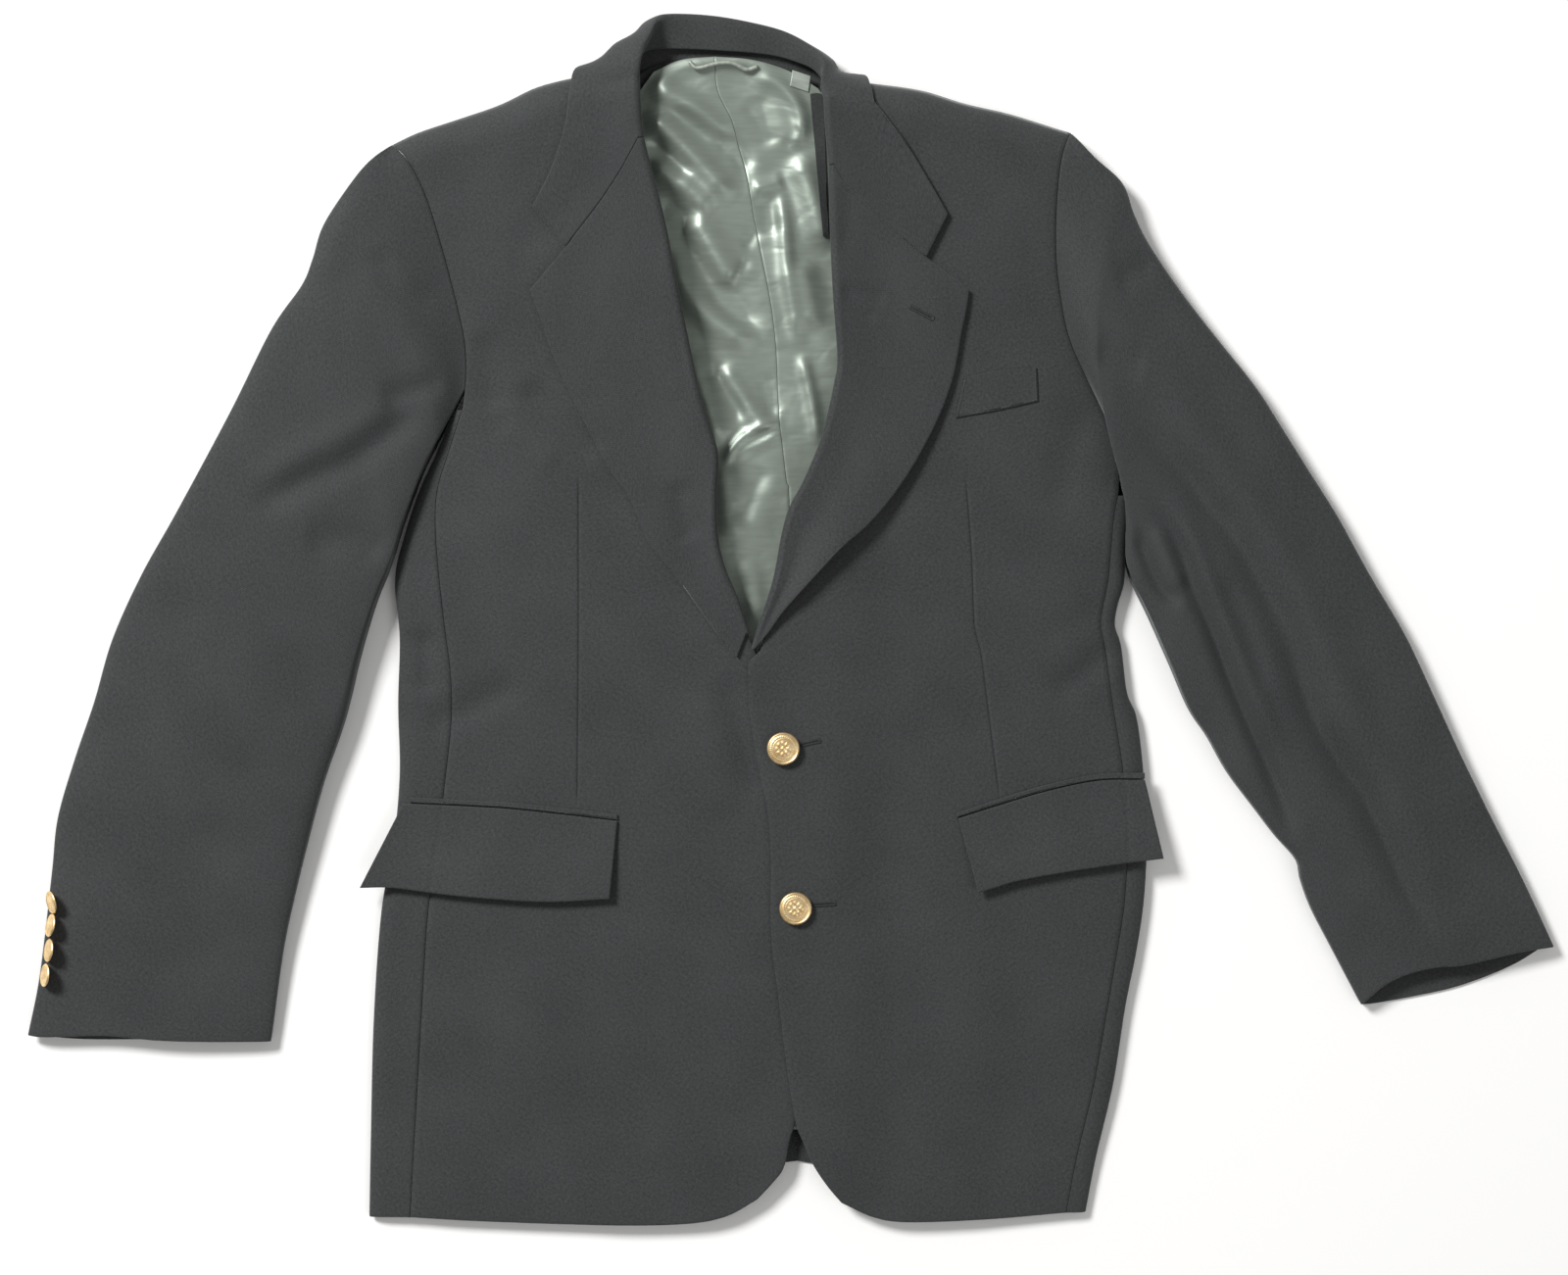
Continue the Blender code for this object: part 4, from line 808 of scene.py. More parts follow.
# Sleeves
SLEEVE_ROWS = np.concatenate([[0, 0.004, 0.009, 0.015, 0.022, 0.030], np.linspace(0.038, 1, 190)])
ROUND = (1 - np.cos(np.pi * np.linspace(0, 1, 73))) / 2
UNDER_ROUND = (1 - np.cos(np.pi * np.linspace(0, 1, 33))) / 2
# Share of the arm's length, height of the tube, bluntness of its section.
SLEEVE_HEIGHT = [(0.0, 24, 2.6), (0.15, 25, 2.8), (0.4, 22, 3.0), (0.7, 18, 3.2), (0.9, 14, 3.4),
                 (1.0, 12, 3.4)]
UNDER_BLUNT = 8.0
BODY_SHARE = 0.09  # of the arm's length, over which its upper side leaves the body's height
SHOULDER_SHARE = 0.1  # the same for its outer fold and the shoulder's height
OUTER_FROM, OUTER_OVER = 0.6, 0.3  # where across the sleeve its outer fold starts to rise to the shoulder
ARM_START = 8.0  # from the armpit up to the first point of the armhole
FOLD_SHARE = 0.06  # creases fade over this share beside the folded edges
HEAD_HIGH, HEAD_AWAY, HEAD_WIDE = 1.6, 11.0, 7.0  # soft roll of the sleeve head beside the armhole
HEAD_FROM, HEAD_OVER = 130.0, 110.0  # y where the roll starts, length over which it comes
HEAD_END, HEAD_FADE = 0.97, 0.2  # share across where the roll ends, share over which it fades
SLEEVE_WAVE, SLEEVE_WAVE_SIZE = 0.6, 24.0
SLEEVE_GAIN = 1.6


def sleeve_grid(start, end, inside, outside, across, rows):
    """Half of a sleeve, from the armhole to the cuff."""
    sides = spline(inside, at=rows), spline(outside, at=rows)
    return coons(along(start, across), spline(end, at=across), *sides)


def ring_shape(u, v):
    """Across a sleeve: how far each piece has left the armhole, the tube's upper side and its underside."""
    high, blunt = column(SLEEVE_HEIGHT, v, 1), column(SLEEVE_HEIGHT, v, 2)
    rise = (1 - smooth(v / SHOULDER_SHARE)) * smooth((u - OUTER_FROM) / OUTER_OVER)
    middle = high / 2 + (SHOULDER_EDGE - high / 2) * rise
    ring = middle + (high - middle) * (1 - np.abs(2 * u - 1) ** blunt) ** (1 / blunt)
    floor = middle * (1 - (1 - np.abs(2 * u - 1) ** UNDER_BLUNT) ** (1 / UNDER_BLUNT))
    return smooth(v / BODY_SHARE), ring, floor


def sleeve(name, side, armhole, inside, outside, cuff, cuff_under, table, cuts):
    """Top and under half of one sleeve. The cuts are each half's flat size and area."""
    arm = offset_line(armhole, side * SEAM_GAP)
    arm = np.vstack([inside[:1], arm[arm[:, 1] > inside[0][1] + ARM_START]])
    outside = [tuple(arm[-1]), *outside[1:]]
    v = SLEEVE_ROWS[:, None]
    top = sleeve_grid(arm, cuff, inside, outside, ROUND, SLEEVE_ROWS)
    blend, ring, _ = ring_shape(ROUND[None], v)
    sides = smooth(ROUND[None] / FOLD_SHARE) * smooth((1 - ROUND[None]) / FOLD_SHARE)
    head = HEAD_HIGH * np.exp(-(((distance(top, arm) - HEAD_AWAY) / HEAD_WIDE) ** 2))
    head *= smooth((top[..., 1] - HEAD_FROM) / HEAD_OVER) * smooth((HEAD_END - ROUND[None]) / HEAD_FADE)
    folded = (SLEEVE_GAIN * creases(top, table) + SLEEVE_WAVE * waves(top, SLEEVE_WAVE_SIZE)) * sides + head
    high = (1 - blend) * body_surface(top, 0) + blend * (ring + SEAM_GAP) + folded * blend
    upper = sheet(f"sleeve_{name}_top", top, high, CLOTH, wool_cloth, -1,
                  (SEWN_EDGE, FREE_EDGE, FOLD_EDGE, FOLD_EDGE), level_at(top, left=blend[:, 0], right=1))
    attach_cloth(upper, f"sleeve_{name}_top", "charcoal_wool", *cuts[0])
    rows = SLEEVE_ROWS[::2]
    under = sleeve_grid(arm, cuff_under, inside, outside, UNDER_ROUND, rows)
    blend, _, floor = ring_shape(UNDER_ROUND[None], rows[:, None])
    low = np.maximum((1 - blend) * back_height(under) + blend * floor - SEAM_GAP, 0)
    lower = sheet(f"sleeve_{name}_under", under, low, BACK_CLOTH, wool_cloth, 1,
                  (HIDDEN_EDGE, FREE_EDGE, FOLD_EDGE, FOLD_EDGE), level_at(under, left=blend[:, 0], right=1))
    attach_cloth(lower, f"sleeve_{name}_under", "charcoal_wool", *cuts[1])


sleeve("right", 1, right_front[:, 0], RIGHT_SLEEVE_IN, RIGHT_SLEEVE_OUT, RIGHT_CUFF, RIGHT_CUFF_UNDER,
       RIGHT_SLEEVE_CREASES, [((0.20, 0.60), 0.086), ((0.20, 0.60), 0.089)])
sleeve("left", -1, left_front[:, 0], LEFT_SLEEVE_IN, LEFT_SLEEVE_OUT, LEFT_CUFF, LEFT_CUFF_UNDER,
       LEFT_SLEEVE_CREASES, [((0.19, 0.60), 0.072), ((0.19, 0.60), 0.075)])

# Lapels and collar
ROLL_ARC = np.radians(np.linspace(-90, 90, 17))
LEAF = np.linspace(0, 1, 46)
FOOT_RADIUS, FOOT_SHARE = CLOTH + LAYER_GAP / 2, 0.16  # the roll is flattest where it starts
GORGE_GAP = 0.1
LEAF_CLOSE = 1.5  # power by which the leaf comes down from the roll on to the front
LIFT_FROM = 3 / 13  # share across the leaf from which its edge is lifted
CREASE_FROM = 0.15  # share across the leaf over which creases come in


def leaf_grid(roll, shares, edge, start, end, side, lapped, rows, lift=((0, 0), (1, 0)), clear=0.0, table=(),
              foot=False):
    """Rows up part of a roll line. Each goes from beneath, round the roll, and over the front to the edge."""
    whole = spline(roll, 240)
    shares = np.linspace(*shares, rows)
    roll, turned = along(whole, shares), along(offset_line(whole, side * ROLL_RADIUS), shares)
    away = (turned - roll) / np.linalg.norm(turned - roll, axis=1, keepdims=True)
    places = np.linspace(0, 1, rows)[:, None]
    radius = np.full((rows, 1), ROLL_RADIUS)
    if foot:
        radius = FOOT_RADIUS + (ROLL_RADIUS - FOOT_RADIUS) * smooth(places / FOOT_SHARE)
    turned = roll + away * radius
    base = body_surface(turned, lapped)
    arc = [deep(roll + away * radius * (1 - math.cos(a)), base - CLOTH + radius[:, 0] * (1 + math.sin(a)))
           for a in ROLL_ARC]
    flat = coons(along(np.vstack([turned[:1], start]), LEAF), along(np.vstack([turned[-1:], end]), LEAF),
                 turned, spline(edge, rows))
    lift = np.array(lift, float)
    rise = (2 * (radius - CLOTH) - LAYER_GAP) * (1 - LEAF[None]) ** LEAF_CLOSE
    lifted = clear + np.interp(places, lift[:, 0], lift[:, 1])
    rise = rise + lifted * smooth((LEAF[None] - LIFT_FROM) / (1 - LIFT_FROM))
    rise = rise + creases(flat, table) * smooth(LEAF[None] / CREASE_FROM)
    high = body_surface(flat, lapped) + CLOTH + LAYER_GAP + rise
    return np.concatenate([np.stack(arc, 1), deep(flat, high)[:, 1:]], 1)


def rolled_piece(name, grid, flip, cut, area):
    """Lapel or collar. Flip is 1 where the grid's normals point out of the cloth, or else -1."""
    outer = inset(grid, (1, 1, 0, 0), GORGE_GAP)
    edges = (TRIM_EDGE, TRIM_EDGE, TRIM_EDGE, FREE_EDGE)
    piece = shell(name, outer, outer - flip * CLOTH * normals(outer), lapel_cloth, edges)
    attach_cloth(piece, name, "charcoal_wool", cut, area)


RIGHT_LINE = [(-27, -9), (-34, 13)] + RIGHT_ROLL[3:] + RIGHT_NECK_EDGE[1:]
LEFT_LINE = [(-26, -19), (-22, -6), (-12, 25)] + LEFT_ROLL[3:] + LEFT_NECK_EDGE[1:]
LAPEL_ROWS, LINE_STEPS = 150, 399
# Share up the lapel, lift of its edge.
RIGHT_LIFT = [(0, 0.2), (0.3, 1.2), (0.7, 1.4), (1, 1.8)]
LEFT_LIFT = [(0, 0.5), (0.12, 6), (0.25, 8), (0.45, 5), (0.7, 2), (1, 1)]


def share_of(line, point):
    """How far up a roll line a point lies."""
    dense = spline(line, LINE_STEPS + 1)
    return float(np.argmin(((dense - np.array(point, float)) ** 2).sum(1))) / LINE_STEPS


RIGHT_SHARE, LEFT_SHARE = share_of(RIGHT_LINE, RIGHT_ROLL[-1]), share_of(LEFT_LINE, LEFT_ROLL[-1])
RIGHT_FOOT, LEFT_FOOT = (-35, -25), (-14, -8)
right_lapel = leaf_grid(RIGHT_LINE, (0, RIGHT_SHARE), [RIGHT_FOOT, *RIGHT_LAPEL[2:]], [RIGHT_FOOT],
                        spline(RIGHT_GORGE[1:] + [RIGHT_TIP], 20), 1, 0, LAPEL_ROWS, RIGHT_LIFT,
                        table=RIGHT_LAPEL_CREASES, foot=True)
left_lapel = leaf_grid(LEFT_LINE, (0, LEFT_SHARE), [LEFT_FOOT, *LEFT_LAPEL[1:]], [LEFT_FOOT],
                       spline(LEFT_GORGE[1:] + [LEFT_TIP], 20), -1, 1, LAPEL_ROWS, LEFT_LIFT,
                       table=LEFT_LAPEL_CREASES, foot=True)
rolled_piece("lapel_right", right_lapel, -1, (0.11, 0.34), 0.022)
rolled_piece("lapel_left", left_lapel, 1, (0.10, 0.32), 0.019)

# Rows round the back of the neck: x, y and z of the seam, the fold, the side, the underside and the edge.
COLLAR_BACK = [
    (-101, 356, 21, -98, 364, 29, -118, 362, 25, -130, 361, 20, -140, 360, 15),
    (-98, 366, 16, -92, 381, 22, -113, 377, 12, -115, 368, 0.5, -120, 361, 0),
    (-93, 371, 11, -87, 390, 16, -95, 391, 6, -97, 380, 0, -110, 346, 0),
    (-80, 373, 8, -77, 394, 10, -78, 394, 3, -80, 384, 0, -88, 348, 0),
    (-48, 372, 7, -45, 392, 9, -45, 392, 2.5, -46, 381, 0, -48, 346, 0),
    (-14, 369, 7, -9, 384, 10, -9, 385, 3, -12, 374, 0, -20, 343, 0),
    (6, 363, 10, 12, 373, 15, 14, 374, 6, 10, 364, 0, 0, 344, 0),
    (16, 357, 14, 21, 364, 21, 28, 365, 10, 25, 356, 0, 20, 346, 0),
    (22, 347, 19, 20, 352, 27, 32, 355, 21, 40, 356, 14, 46, 356, 9),
    (21, 341, 21, 20, 345, 29, 34, 347, 27, 44, 347, 25, 52, 348, 21),
]
COLLAR_FRONT_ROWS, COLLAR_BACK_STEPS = 30, 8
COLLAR_CLEAR = 1.6


def collar_end(gorge, tip):
    """Front end of the collar: along the gorge, then the free end out to the tip."""
    return np.vstack([spline(gorge[1:], 20), spline([gorge[-1], tip], 8)[1:]])


RIGHT_FALL = [RIGHT_COLLAR_TIP, (-156, 292), (-147, 319), (-144, 342)]
LEFT_FALL = [LEFT_COLLAR_TIP, (90, 284), (74, 310), (54, 336)]
right_end = leaf_grid(RIGHT_LINE, (RIGHT_SHARE, 1), RIGHT_FALL, collar_end(RIGHT_GORGE, RIGHT_COLLAR_TIP),
                      RIGHT_FALL[-1:], 1, 0, COLLAR_FRONT_ROWS, clear=COLLAR_CLEAR)
left_end = leaf_grid(LEFT_LINE, (LEFT_SHARE, 1), LEFT_FALL, collar_end(LEFT_GORGE, LEFT_COLLAR_TIP),
                     LEFT_FALL[-1:], -1, 1, COLLAR_FRONT_ROWS, clear=COLLAR_CLEAR)


def collar_grid():
    """Both front ends, with the rows round the back of the neck between them."""
    across = np.linspace(0, 1, right_end.shape[1])
    keys = [right_end[-1]]
    keys += [spline(np.array(row, float).reshape(5, 3), at=across) for row in COLLAR_BACK]
    keys = np.array([*keys, left_end[-1]])
    count = (len(keys) - 1) * COLLAR_BACK_STEPS + 1
    between = np.stack([spline(keys[:, j], count) for j in range(keys.shape[1])], 1)
    grid = np.concatenate([right_end, between[1:-1], left_end[::-1]])
    grid[..., 2] = np.maximum(grid[..., 2], 0)
    return grid


rolled_piece("collar", collar_grid(), -1, (0.08, 0.44), 0.022)

# Back lining
LINING_REST = 1.0
LINING_SINK = -0.6  # deepest trough
LINING_SEAM_EDGE = 0.35
LINING_ROWS = 300
LINING_WAVE, LINING_WAVE_SIZE = 1.3, 16.0
LINING_GAIN = 1.15
RIGHT_LINING = [(-140, -322), (-150, -150), (-150, 0), (-140, 150), (-122, 280), (-104, 335), (-90, 358)]
LEFT_LINING = [(120, -326), (125, -150), (120, 0), (100, 150), (66, 270), (36, 322), (18, 347)]


def lining_height(xy):
    """Upper side of the lining."""
    folded = LINING_GAIN * creases(xy, LINING_CREASES) + LINING_WAVE * (1 + waves(xy, LINING_WAVE_SIZE))
    return back_height(xy) + BACK_CLOTH + LINING_REST + LINING + np.maximum(folded, LINING_SINK)


def lining(name, side_line, top, bottom, across, cut, area):
    """Half of the back lining, with top and bottom the points between its side and the centre seam."""
    centre, outer = spline(LINING_CENTRE, LINING_ROWS), spline(side_line, LINING_ROWS)
    low = spline([outer[0], *bottom, centre[0]], across)
    high = spline([outer[-1], *top, centre[-1]], across)
    drawn = inset(coons(low, high, outer, centre), (0, 0, 0, 1))
    edges = (THIN_EDGE, THIN_EDGE, THIN_EDGE, LINING_SEAM_EDGE)
    piece = sheet(name, drawn, lining_height(drawn), LINING, satin_cloth, -1, edges)
    attach_cloth(piece, name, "satin_lining", cut, area, [name.replace("lining", "back")])


lining("lining_right", RIGHT_LINING, [(-72, 366)], [(-70, -330)], 66, (0.16, 0.71), 0.093)
lining("lining_left", LEFT_LINING, [(4, 356), (-12, 362.5), (-30, 366.5)], [(60, -332)], 58, (0.15, 0.71),
       0.077)

# Facing: the strip of the left front's inner cloth that shows beside the lining
FACING_CLOTH, FACING_REST = 1.0, 0.4
FACING_TOP, FACING_LOW = [(12.5, 343.5), (17, 344), (21.5, 343)], [(21, 250), (23, 250), (24.8, 250)]


def strip(start, end, across, rows):
    """Flat grid from one curve straight down to another."""
    top, bottom = spline(start, across), spline(end, across)
    return top[None] + np.linspace(0, 1, rows)[:, None, None] * (bottom - top)[None]


facing_flat = strip(FACING_TOP, FACING_LOW, 16, 70)
facing_high = lining_height(facing_flat) + FACING_REST + FACING_CLOTH
facing = sheet("facing_left", facing_flat, facing_high, FACING_CLOTH, wool_cloth, -1, [THIN_EDGE] * 4)
attach_cloth(facing, None, "charcoal_wool", (0.015, 0.09), 0.0007, ["lining_left"])

# Pockets
FLAP_LIFT = 4.0
WELT_CLOTH, WELT_REST = 1.5, 0.3
BREAST_CLOTH, BREAST_EDGE = 1.0, 1.4
SIDE_EDGE_SHARE = 0.8  # a trim's side edges round off less than its free edge


def layered(name, start, end, thickness, rest, lapped, lift, grid_size, cut, area, edge=FREE_EDGE):
    """A strip between two lines, made from the body's height and moved out, its end lifted."""
    flat = strip(start, end, *grid_size)
    shares = np.linspace(0, 1, len(flat))[:, None]
    high = body_surface(flat, lapped) + rest + thickness + lift * smooth(shares)
    sides = SIDE_EDGE_SHARE * edge
    piece = sheet(name, flat, high, thickness, wool_cloth, -1, (TRIM_EDGE, edge, sides, sides))
    attach_cloth(piece, name, "charcoal_wool", cut, area)


layered("pocket_welt_right", [(-249, -116), (-209, -118), (-175, -120), (-113, -127)],
        [(-249, -119.7), (-209, -121.4), (-175, -123.7), (-113, -130.7)],
        WELT_CLOTH, WELT_REST, 0, 0, (90, 6), (0.14, 0.010), 0.00065)
layered("pocket_flap_right", [(-253, -120), (-209, -122), (-175, -124.3), (-113, -131.3)],
        [(-281, -175), (-260, -175), (-228, -179), (-196, -182), (-158, -184), (-118, -182)],
        CLOTH, LAYER_GAP, 0, FLAP_LIFT, (110, 40), (0.17, 0.06), 0.009)
layered("pocket_welt_left", [(108, -126), (132, -118), (166, -108), (200, -101), (231, -100)],
        [(108, -129), (132, -121.7), (166, -111.7), (200, -104.7), (231, -104)],
        WELT_CLOTH, WELT_REST, 1, 0, (90, 6), (0.13, 0.010), 0.00065)
layered("pocket_flap_left", [(109, -129.5), (132, -122.3), (166, -112.3), (200, -105.3), (231, -104.6)],
        [(122, -178), (132, -175), (149, -170), (183, -164), (218, -159), (243, -156)],
        CLOTH, LAYER_GAP, 1, FLAP_LIFT, (100, 40), (0.14, 0.06), 0.0068)
layered("breast_welt", [(113, 157.5), (135, 162), (160, 164)], [(107, 131), (135, 136), (161, 142)],
        BREAST_CLOTH, WELT_REST, 1, 0, (60, 30), (0.06, 0.03), 0.0013, BREAST_EDGE)


# Small parts
def bands(rings, around, first=0, rising=False):
    """Faces between rings of points, the first point numbered first. Rising turns their order round."""
    faces = []
    for i in range(rings - 1):
        for k in range(around):
            a = first + i * around + k
            b = first + i * around + (k + 1) % around
            faces.append((a, b, b + around, a + around) if rising else (a, a + around, b + around, b))
    return faces


def end_caps(rings, around, first=0):
    """Faces that close a tube's two ends."""
    last = first + rings * around - 1
    return [tuple(first + k for k in range(around)), tuple(last - k for k in range(around))]


def tube(name, line, radius, around, stuff):
    """Round cord through points, closed at both ends."""
    step = np.gradient(line, axis=0)
    step /= np.linalg.norm(step, axis=1, keepdims=True)
    side = np.cross(step, (0, 0, 1))
    side /= np.linalg.norm(side, axis=1, keepdims=True)
    up = np.cross(side, step)
    turn = np.linspace(0, 2 * math.pi, around, endpoint=False)[None, :, None]
    points = line[:, None] + radius * (np.cos(turn) * side[:, None] + np.sin(turn) * up[:, None])
    faces = bands(len(line), around) + end_caps(len(line), around)
    place = np.stack([np.tile(np.arange(around), len(line)), np.repeat(run_along(line), around)], 1)
    return build(name, points.reshape(-1, 3), faces, stuff, place)


LOOP_LINE = [(-66, 364, 10.2), (-61, 360, 10.8), (-48, 363, 11), (-38, 363, 11), (-29, 359, 10.8),
             (-22, 361, 10.4)]
LOOP_RADIUS, LOOP_STEPS, LOOP_ROUND = 1.4, 60, 14
loop = tube("hanger_loop", spline(LOOP_LINE, LOOP_STEPS), LOOP_RADIUS, LOOP_ROUND, cord_cloth)
attach(loop, "hanger_loop")

LABEL_TOP, LABEL_DROP, LABEL_STEPS = [(1, 359), (13, 355)], (-1.5, -10.5), 20
LABEL_CLOTH, LABEL_REST = 0.8, 0.2
label_drop = np.linspace(0, 1, LABEL_STEPS)[:, None, None] * np.array(LABEL_DROP)
label_flat = spline(LABEL_TOP, LABEL_STEPS) + label_drop
label = sheet("neck_label", label_flat, lining_height(label_flat) + LABEL_REST + LABEL_CLOTH, LABEL_CLOTH,
              label_cloth, -1, [FOLD_EDGE] * 4)
attach_cloth(label, "neck_label", "label_weave", (0.014, 0.011), 0.00014, ["lining_left"])

# Buttons. The side's points are a share of the radius and a height on a front button.
BUTTON_SIDE = [(0.24, 0.0), (0.24, 1.7), (0.80, 1.8), (0.94, 2.2), (0.99, 2.7), (1.0, 3.1), (0.985, 3.5),
               (0.95, 3.8)]
FACE_START, FACE_RINGS = 0.93, 34
FACE_LOW, FACE_TOP = 3.8, 4.3
FRONT_BUTTONS = [("button_front_upper", -5, -84), ("button_front_lower", 3, -188)]
FRONT_BUTTON_RADIUS, SLEEVE_BUTTON_RADIUS = 10.7, 7.6
FRONT_BUTTON_ROUND, SLEEVE_BUTTON_ROUND = 144, 108
# On the sleeve: x, y and z of the shank's foot, tilt from level, turn.
SLEEVE_BUTTONS = [
    (-480.0, -184, 15.0, 58, 192),
    (-480.5, -199.7, 15.3, 60, 166),
    (-481.5, -215.8, 15.8, 60, 170),
    (-484.0, -232, 15.4, 60, 172),
]
BUTTON_REST = 0.4
# Raised rings of the face: height, place and width, the last two as shares of the radius.
RIM, GROOVE, BAND = (0.30, 0.91, 0.035), (-0.22, 0.83, 0.03), (0.18, 0.60, 0.022)
HEART, HOLLOW = (0.38, 0.0, 0.11), (-0.14, 0.17, 0.03)
BEAD_RING, PETAL_RING = (0.26, 0.72, 0.035), (0.34, 0.34, 0.12)
BEADS, BEAD_POINT = 36, 1.5
PETALS, PETAL_POINT = 8, 0.7


def raised(share, ring):
    """Height of one ring at a share of the radius."""
    high, place, wide = ring
    return high * np.exp(-(((share - place) / wide) ** 2))


def face_relief(share, angle):
    """Height on the button's face: a raised rim, a ring of beads and a rosette."""
    dome = FACE_LOW + (FACE_TOP - FACE_LOW) * (1 - share**2)
    plain = sum(raised(share, ring) for ring in (RIM, GROOVE, BAND, HEART, HOLLOW))
    beads = raised(share, BEAD_RING) * (0.5 + 0.5 * np.cos(BEADS * angle)) ** BEAD_POINT
    petals = raised(share, PETAL_RING) * np.abs(np.cos(PETALS * angle / 2)) ** PETAL_POINT
    return dome + plain + beads + petals


def button(name, foot, radius, tilt, turn, around):
    """Metal button on its shank, tipped over by tilt towards turn."""
    high = radius / FRONT_BUTTON_RADIUS
    angle = np.linspace(0, 2 * math.pi, around, endpoint=False)
    round_x, round_y = radius * np.cos(angle), radius * np.sin(angle)
    rings = [(share, np.full(around, z)) for share, z in BUTTON_SIDE]
    for share in np.linspace(FACE_START, 0, FACE_RINGS, endpoint=False):
        rings.append((share, face_relief(share, angle)))
    points = [np.stack([share * round_x, share * round_y, z * high], 1) for share, z in rings]
    points = np.vstack([*points, [[0, 0, face_relief(0.0, 0.0) * high]]])
    faces = bands(len(rings), around, rising=True)
    last = (len(rings) - 1) * around
    faces += [(last + k, last + (k + 1) % around, len(points) - 1) for k in range(around)]
    faces.append(tuple(range(around - 1, -1, -1)))
    tip, spin = math.radians(tilt), math.radians(turn)
    tipped = np.array([[math.cos(tip), 0, math.sin(tip)], [0, 1, 0], [-math.sin(tip), 0, math.cos(tip)]])
    spun = np.array([[math.cos(spin), -math.sin(spin), 0], [math.sin(spin), math.cos(spin), 0], [0, 0, 1]])
    piece = build(name, points @ (spun @ tipped).T + np.array(foot, float), faces, gold)
    attach(piece, name)


for name, x, y in FRONT_BUTTONS:
    here = np.array([[x, y]], float)
    foot = float((body_height(here) + lap(here))[0]) + BUTTON_REST
    button(name, (x, y, foot), FRONT_BUTTON_RADIUS, 0, 0, FRONT_BUTTON_ROUND)
for number, (x, y, z, tilt, turn) in enumerate(SLEEVE_BUTTONS, 1):
    button(f"button_sleeve_{number}", (x, y, z), SLEEVE_BUTTON_RADIUS, tilt, turn, SLEEVE_BUTTON_ROUND)

# Worked buttonholes
STITCH_PITCH, STITCH_REACH, STITCH_THICK = 0.55, 1.5, 0.34
STITCH_RINGS, STITCH_ROUND = 7, 6
STITCH_TAPER, STITCH_TIP = 0.96, 0.03  # how far the thread narrows to its ends, and the least that stays
STITCH_RISE, SLIT_HALF = 0.12, 0.15
BAR_STITCHES, BAR_REACH = 3, 2.4  # of the bar, its reach in stitches


def stitch(first, middle, direction, reach, z):
    """Points and faces of one thread that lies on the cloth, its points numbered from first."""
    cross = np.array([-direction[1], direction[0]])
    points = []
    for s in np.linspace(-1, 1, STITCH_RINGS):
        thick = STITCH_THICK * math.sqrt(max(1 - s * s * STITCH_TAPER, STITCH_TIP))
        for a in np.linspace(0, 2 * math.pi, STITCH_ROUND, endpoint=False):
            x, y = middle + direction * s * reach / 2 + cross * math.cos(a) * thick
            points.append((x, y, z + STITCH_RISE + thick * math.sin(a)))
    return points, bands(STITCH_RINGS, STITCH_ROUND, first) + end_caps(STITCH_RINGS, STITCH_ROUND, first)


def buttonhole(name, start, end, height):
    """Slit with a row of close stitches on each side and a bar across its far end."""
    start, end = np.array(start, float), np.array(end, float)
    length = float(np.hypot(*(end - start)))
    run = (end - start) / length
    side = np.array([-run[1], run[0]])
    places = []
    for k in range(int(length / STITCH_PITCH)):
        at = start + run * (k + 0.5) * STITCH_PITCH
        for sign in (-1, 1):
            places.append((at + side * sign * (STITCH_REACH / 2 + SLIT_HALF), STITCH_REACH))
    for k in range(BAR_STITCHES):
        places.append((end + run * (k - 1) * STITCH_PITCH, BAR_REACH * STITCH_REACH))
    points, faces = [], []
    for middle, reach in places:
        more_points, more_faces = stitch(len(points), middle, side, reach, float(height(middle[None])[0]))
        points += more_points
        faces += more_faces
    attach(build(name, points, faces, thread_stuff), None)


def front_top(xy):
    """Height of the left front."""
    return body_surface(xy, 1)


def lapel_top(xy):
    """Height of the left lapel, read from its own grid."""
    points = left_lapel.reshape(-1, 3)
    points = points[points[:, 2] > 0]
    near = ((points[None, :, :2] - xy[:, None]) ** 2).sum(2)
    closest = np.argsort(near, axis=1)[:, :4]
    return points[closest, 2].max(1)


buttonhole("buttonhole_upper", (6, -82), (19, -79), front_top)
buttonhole("buttonhole_lower", (14, -186), (29, -185), front_top)
buttonhole("buttonhole_lapel", (77, 203), (92, 195), lapel_top)

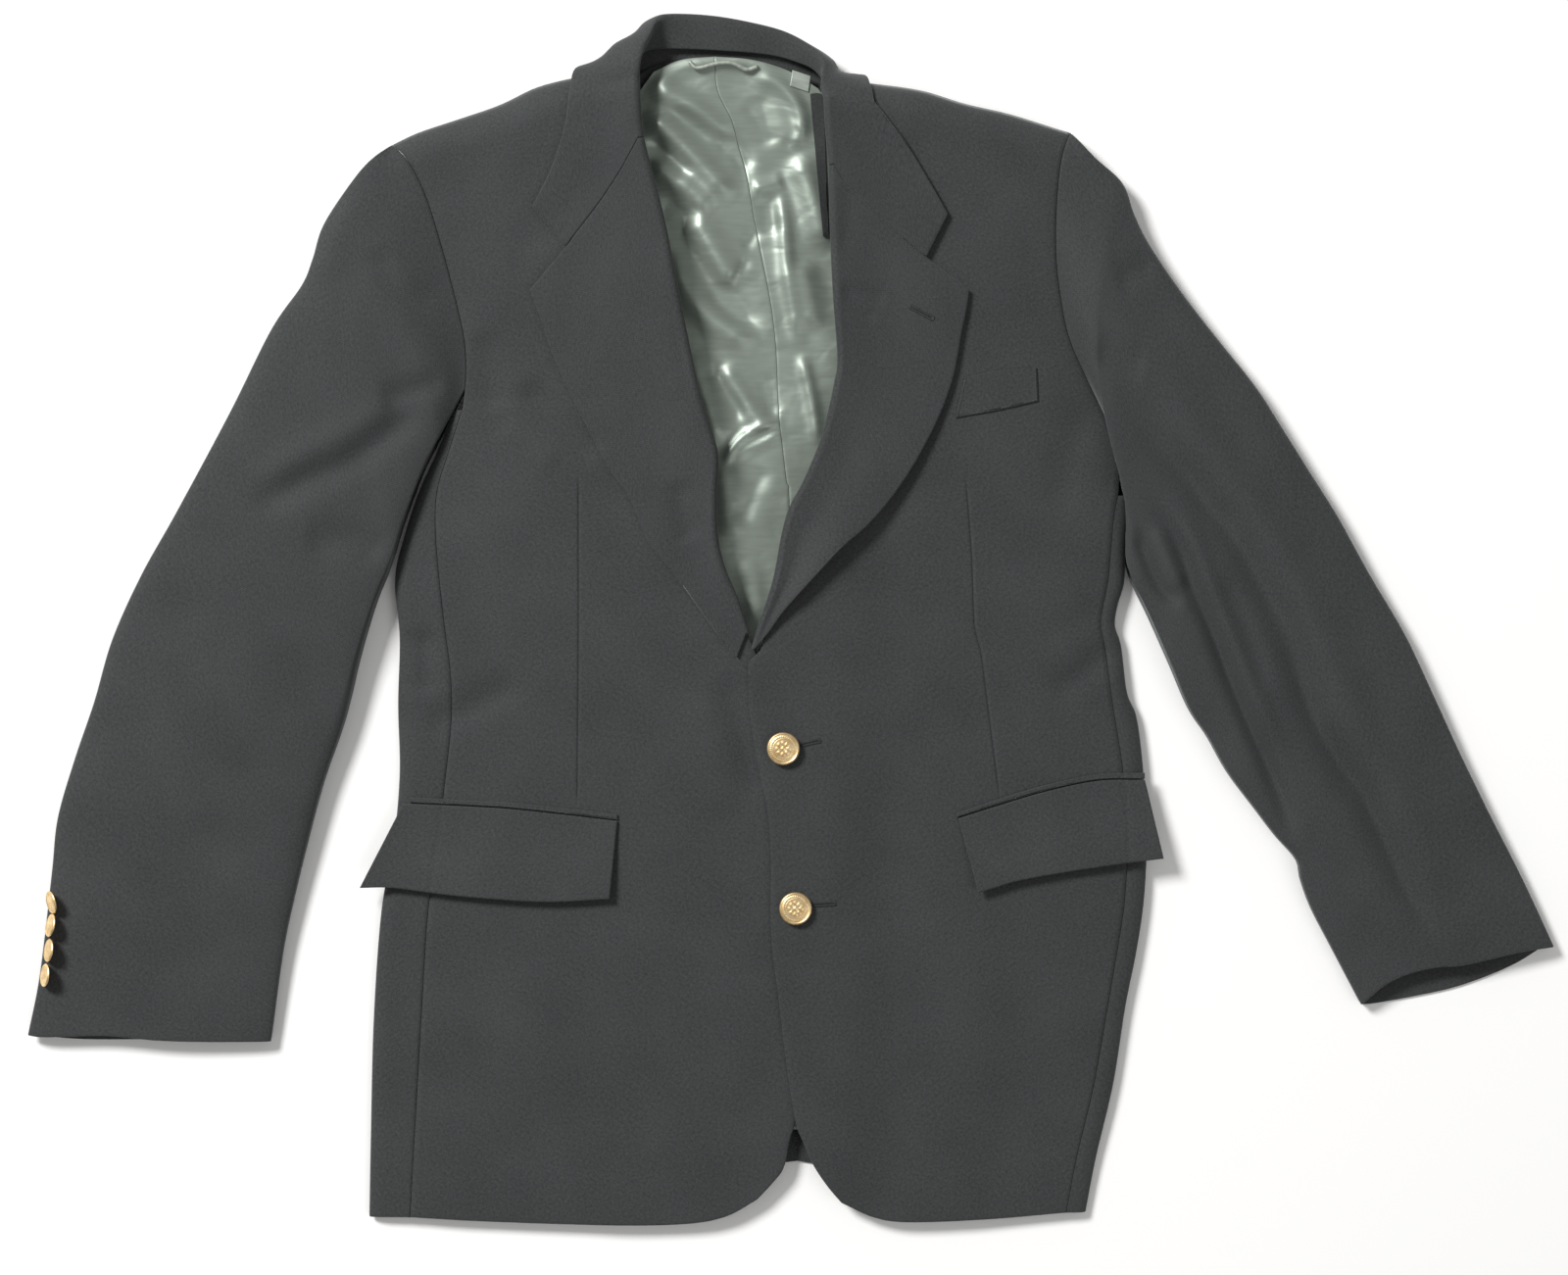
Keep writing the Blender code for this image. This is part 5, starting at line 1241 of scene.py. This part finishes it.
# Stage
FLOOR_HALF, FLOOR_Z = 4.0, -0.0004  # metres
FLOOR_COLOUR = (0.93, 0.925, 0.91)
WORLD_STRENGTH = 0.32
PHOTO_WIDTH, PIXEL = 1600, 0.64  # of the photo, and the millimetres that one of its pixels shows
CAMERA_X, CAMERA_Y, CAMERA_HEIGHT = -4.5 * MM, -11.8 * MM, 2.41
CAMERA_PLANE = 0.010  # height at which the view is as wide as the photo
SENSOR = 36.0


def make_floor():
    """Pale plain table top, just under the cloth."""
    mesh = bpy.data.meshes.new("floor")
    corners = [(x * FLOOR_HALF, y * FLOOR_HALF, FLOOR_Z) for x, y in ((-1, -1), (1, -1), (1, 1), (-1, 1))]
    mesh.from_pydata(corners, [], [(0, 1, 2, 3)])
    made, _, _, shader = new_material("floor", FLOOR_COLOUR)
    set_inputs(shader, {"Base Color": (*FLOOR_COLOUR, 1), "Roughness": 0.9})
    mesh.materials.append(made)
    return bpy.data.objects.new("floor", mesh)


def area_light(name, place, size, power):
    """Round soft light aimed at the middle of the garment."""
    data = bpy.data.lights.new(name, "AREA")
    data.shape = "DISK"
    data.size = size
    data.energy = power
    light = bpy.data.objects.new(name, data)
    light.location = place
    x, y, z = place
    light.rotation_euler = (math.acos(z / math.hypot(x, y, z)), 0, math.atan2(x, -y))
    bpy.context.scene.collection.objects.link(light)


def make_world():
    """Even white light from all round."""
    world = bpy.data.worlds.new("studio")
    world.use_nodes = True
    background = world.node_tree.nodes["Background"]
    set_inputs(background, {"Color": (1, 1, 1, 1), "Strength": WORLD_STRENGTH})
    bpy.context.scene.world = world


def make_camera():
    """Camera straight above, with the photo's framing."""
    data = bpy.data.cameras.new("camera")
    data.sensor_width = SENSOR
    data.lens = SENSOR * (CAMERA_HEIGHT - CAMERA_PLANE) / (PHOTO_WIDTH * PIXEL * MM)
    camera = bpy.data.objects.new("camera", data)
    camera.location = (CAMERA_X, CAMERA_Y, CAMERA_HEIGHT)
    bpy.context.scene.collection.objects.link(camera)
    bpy.context.scene.camera = camera


floor = make_floor()
bpy.context.scene.collection.objects.link(floor)
area_light("key", (-2.7, 2.4, 3.1), 1.4, 265)
area_light("fill", (2.2, -1.6, 3.0), 3.0, 30)
make_world()
make_camera()
bpy.context.scene.view_settings.view_transform = "Standard"
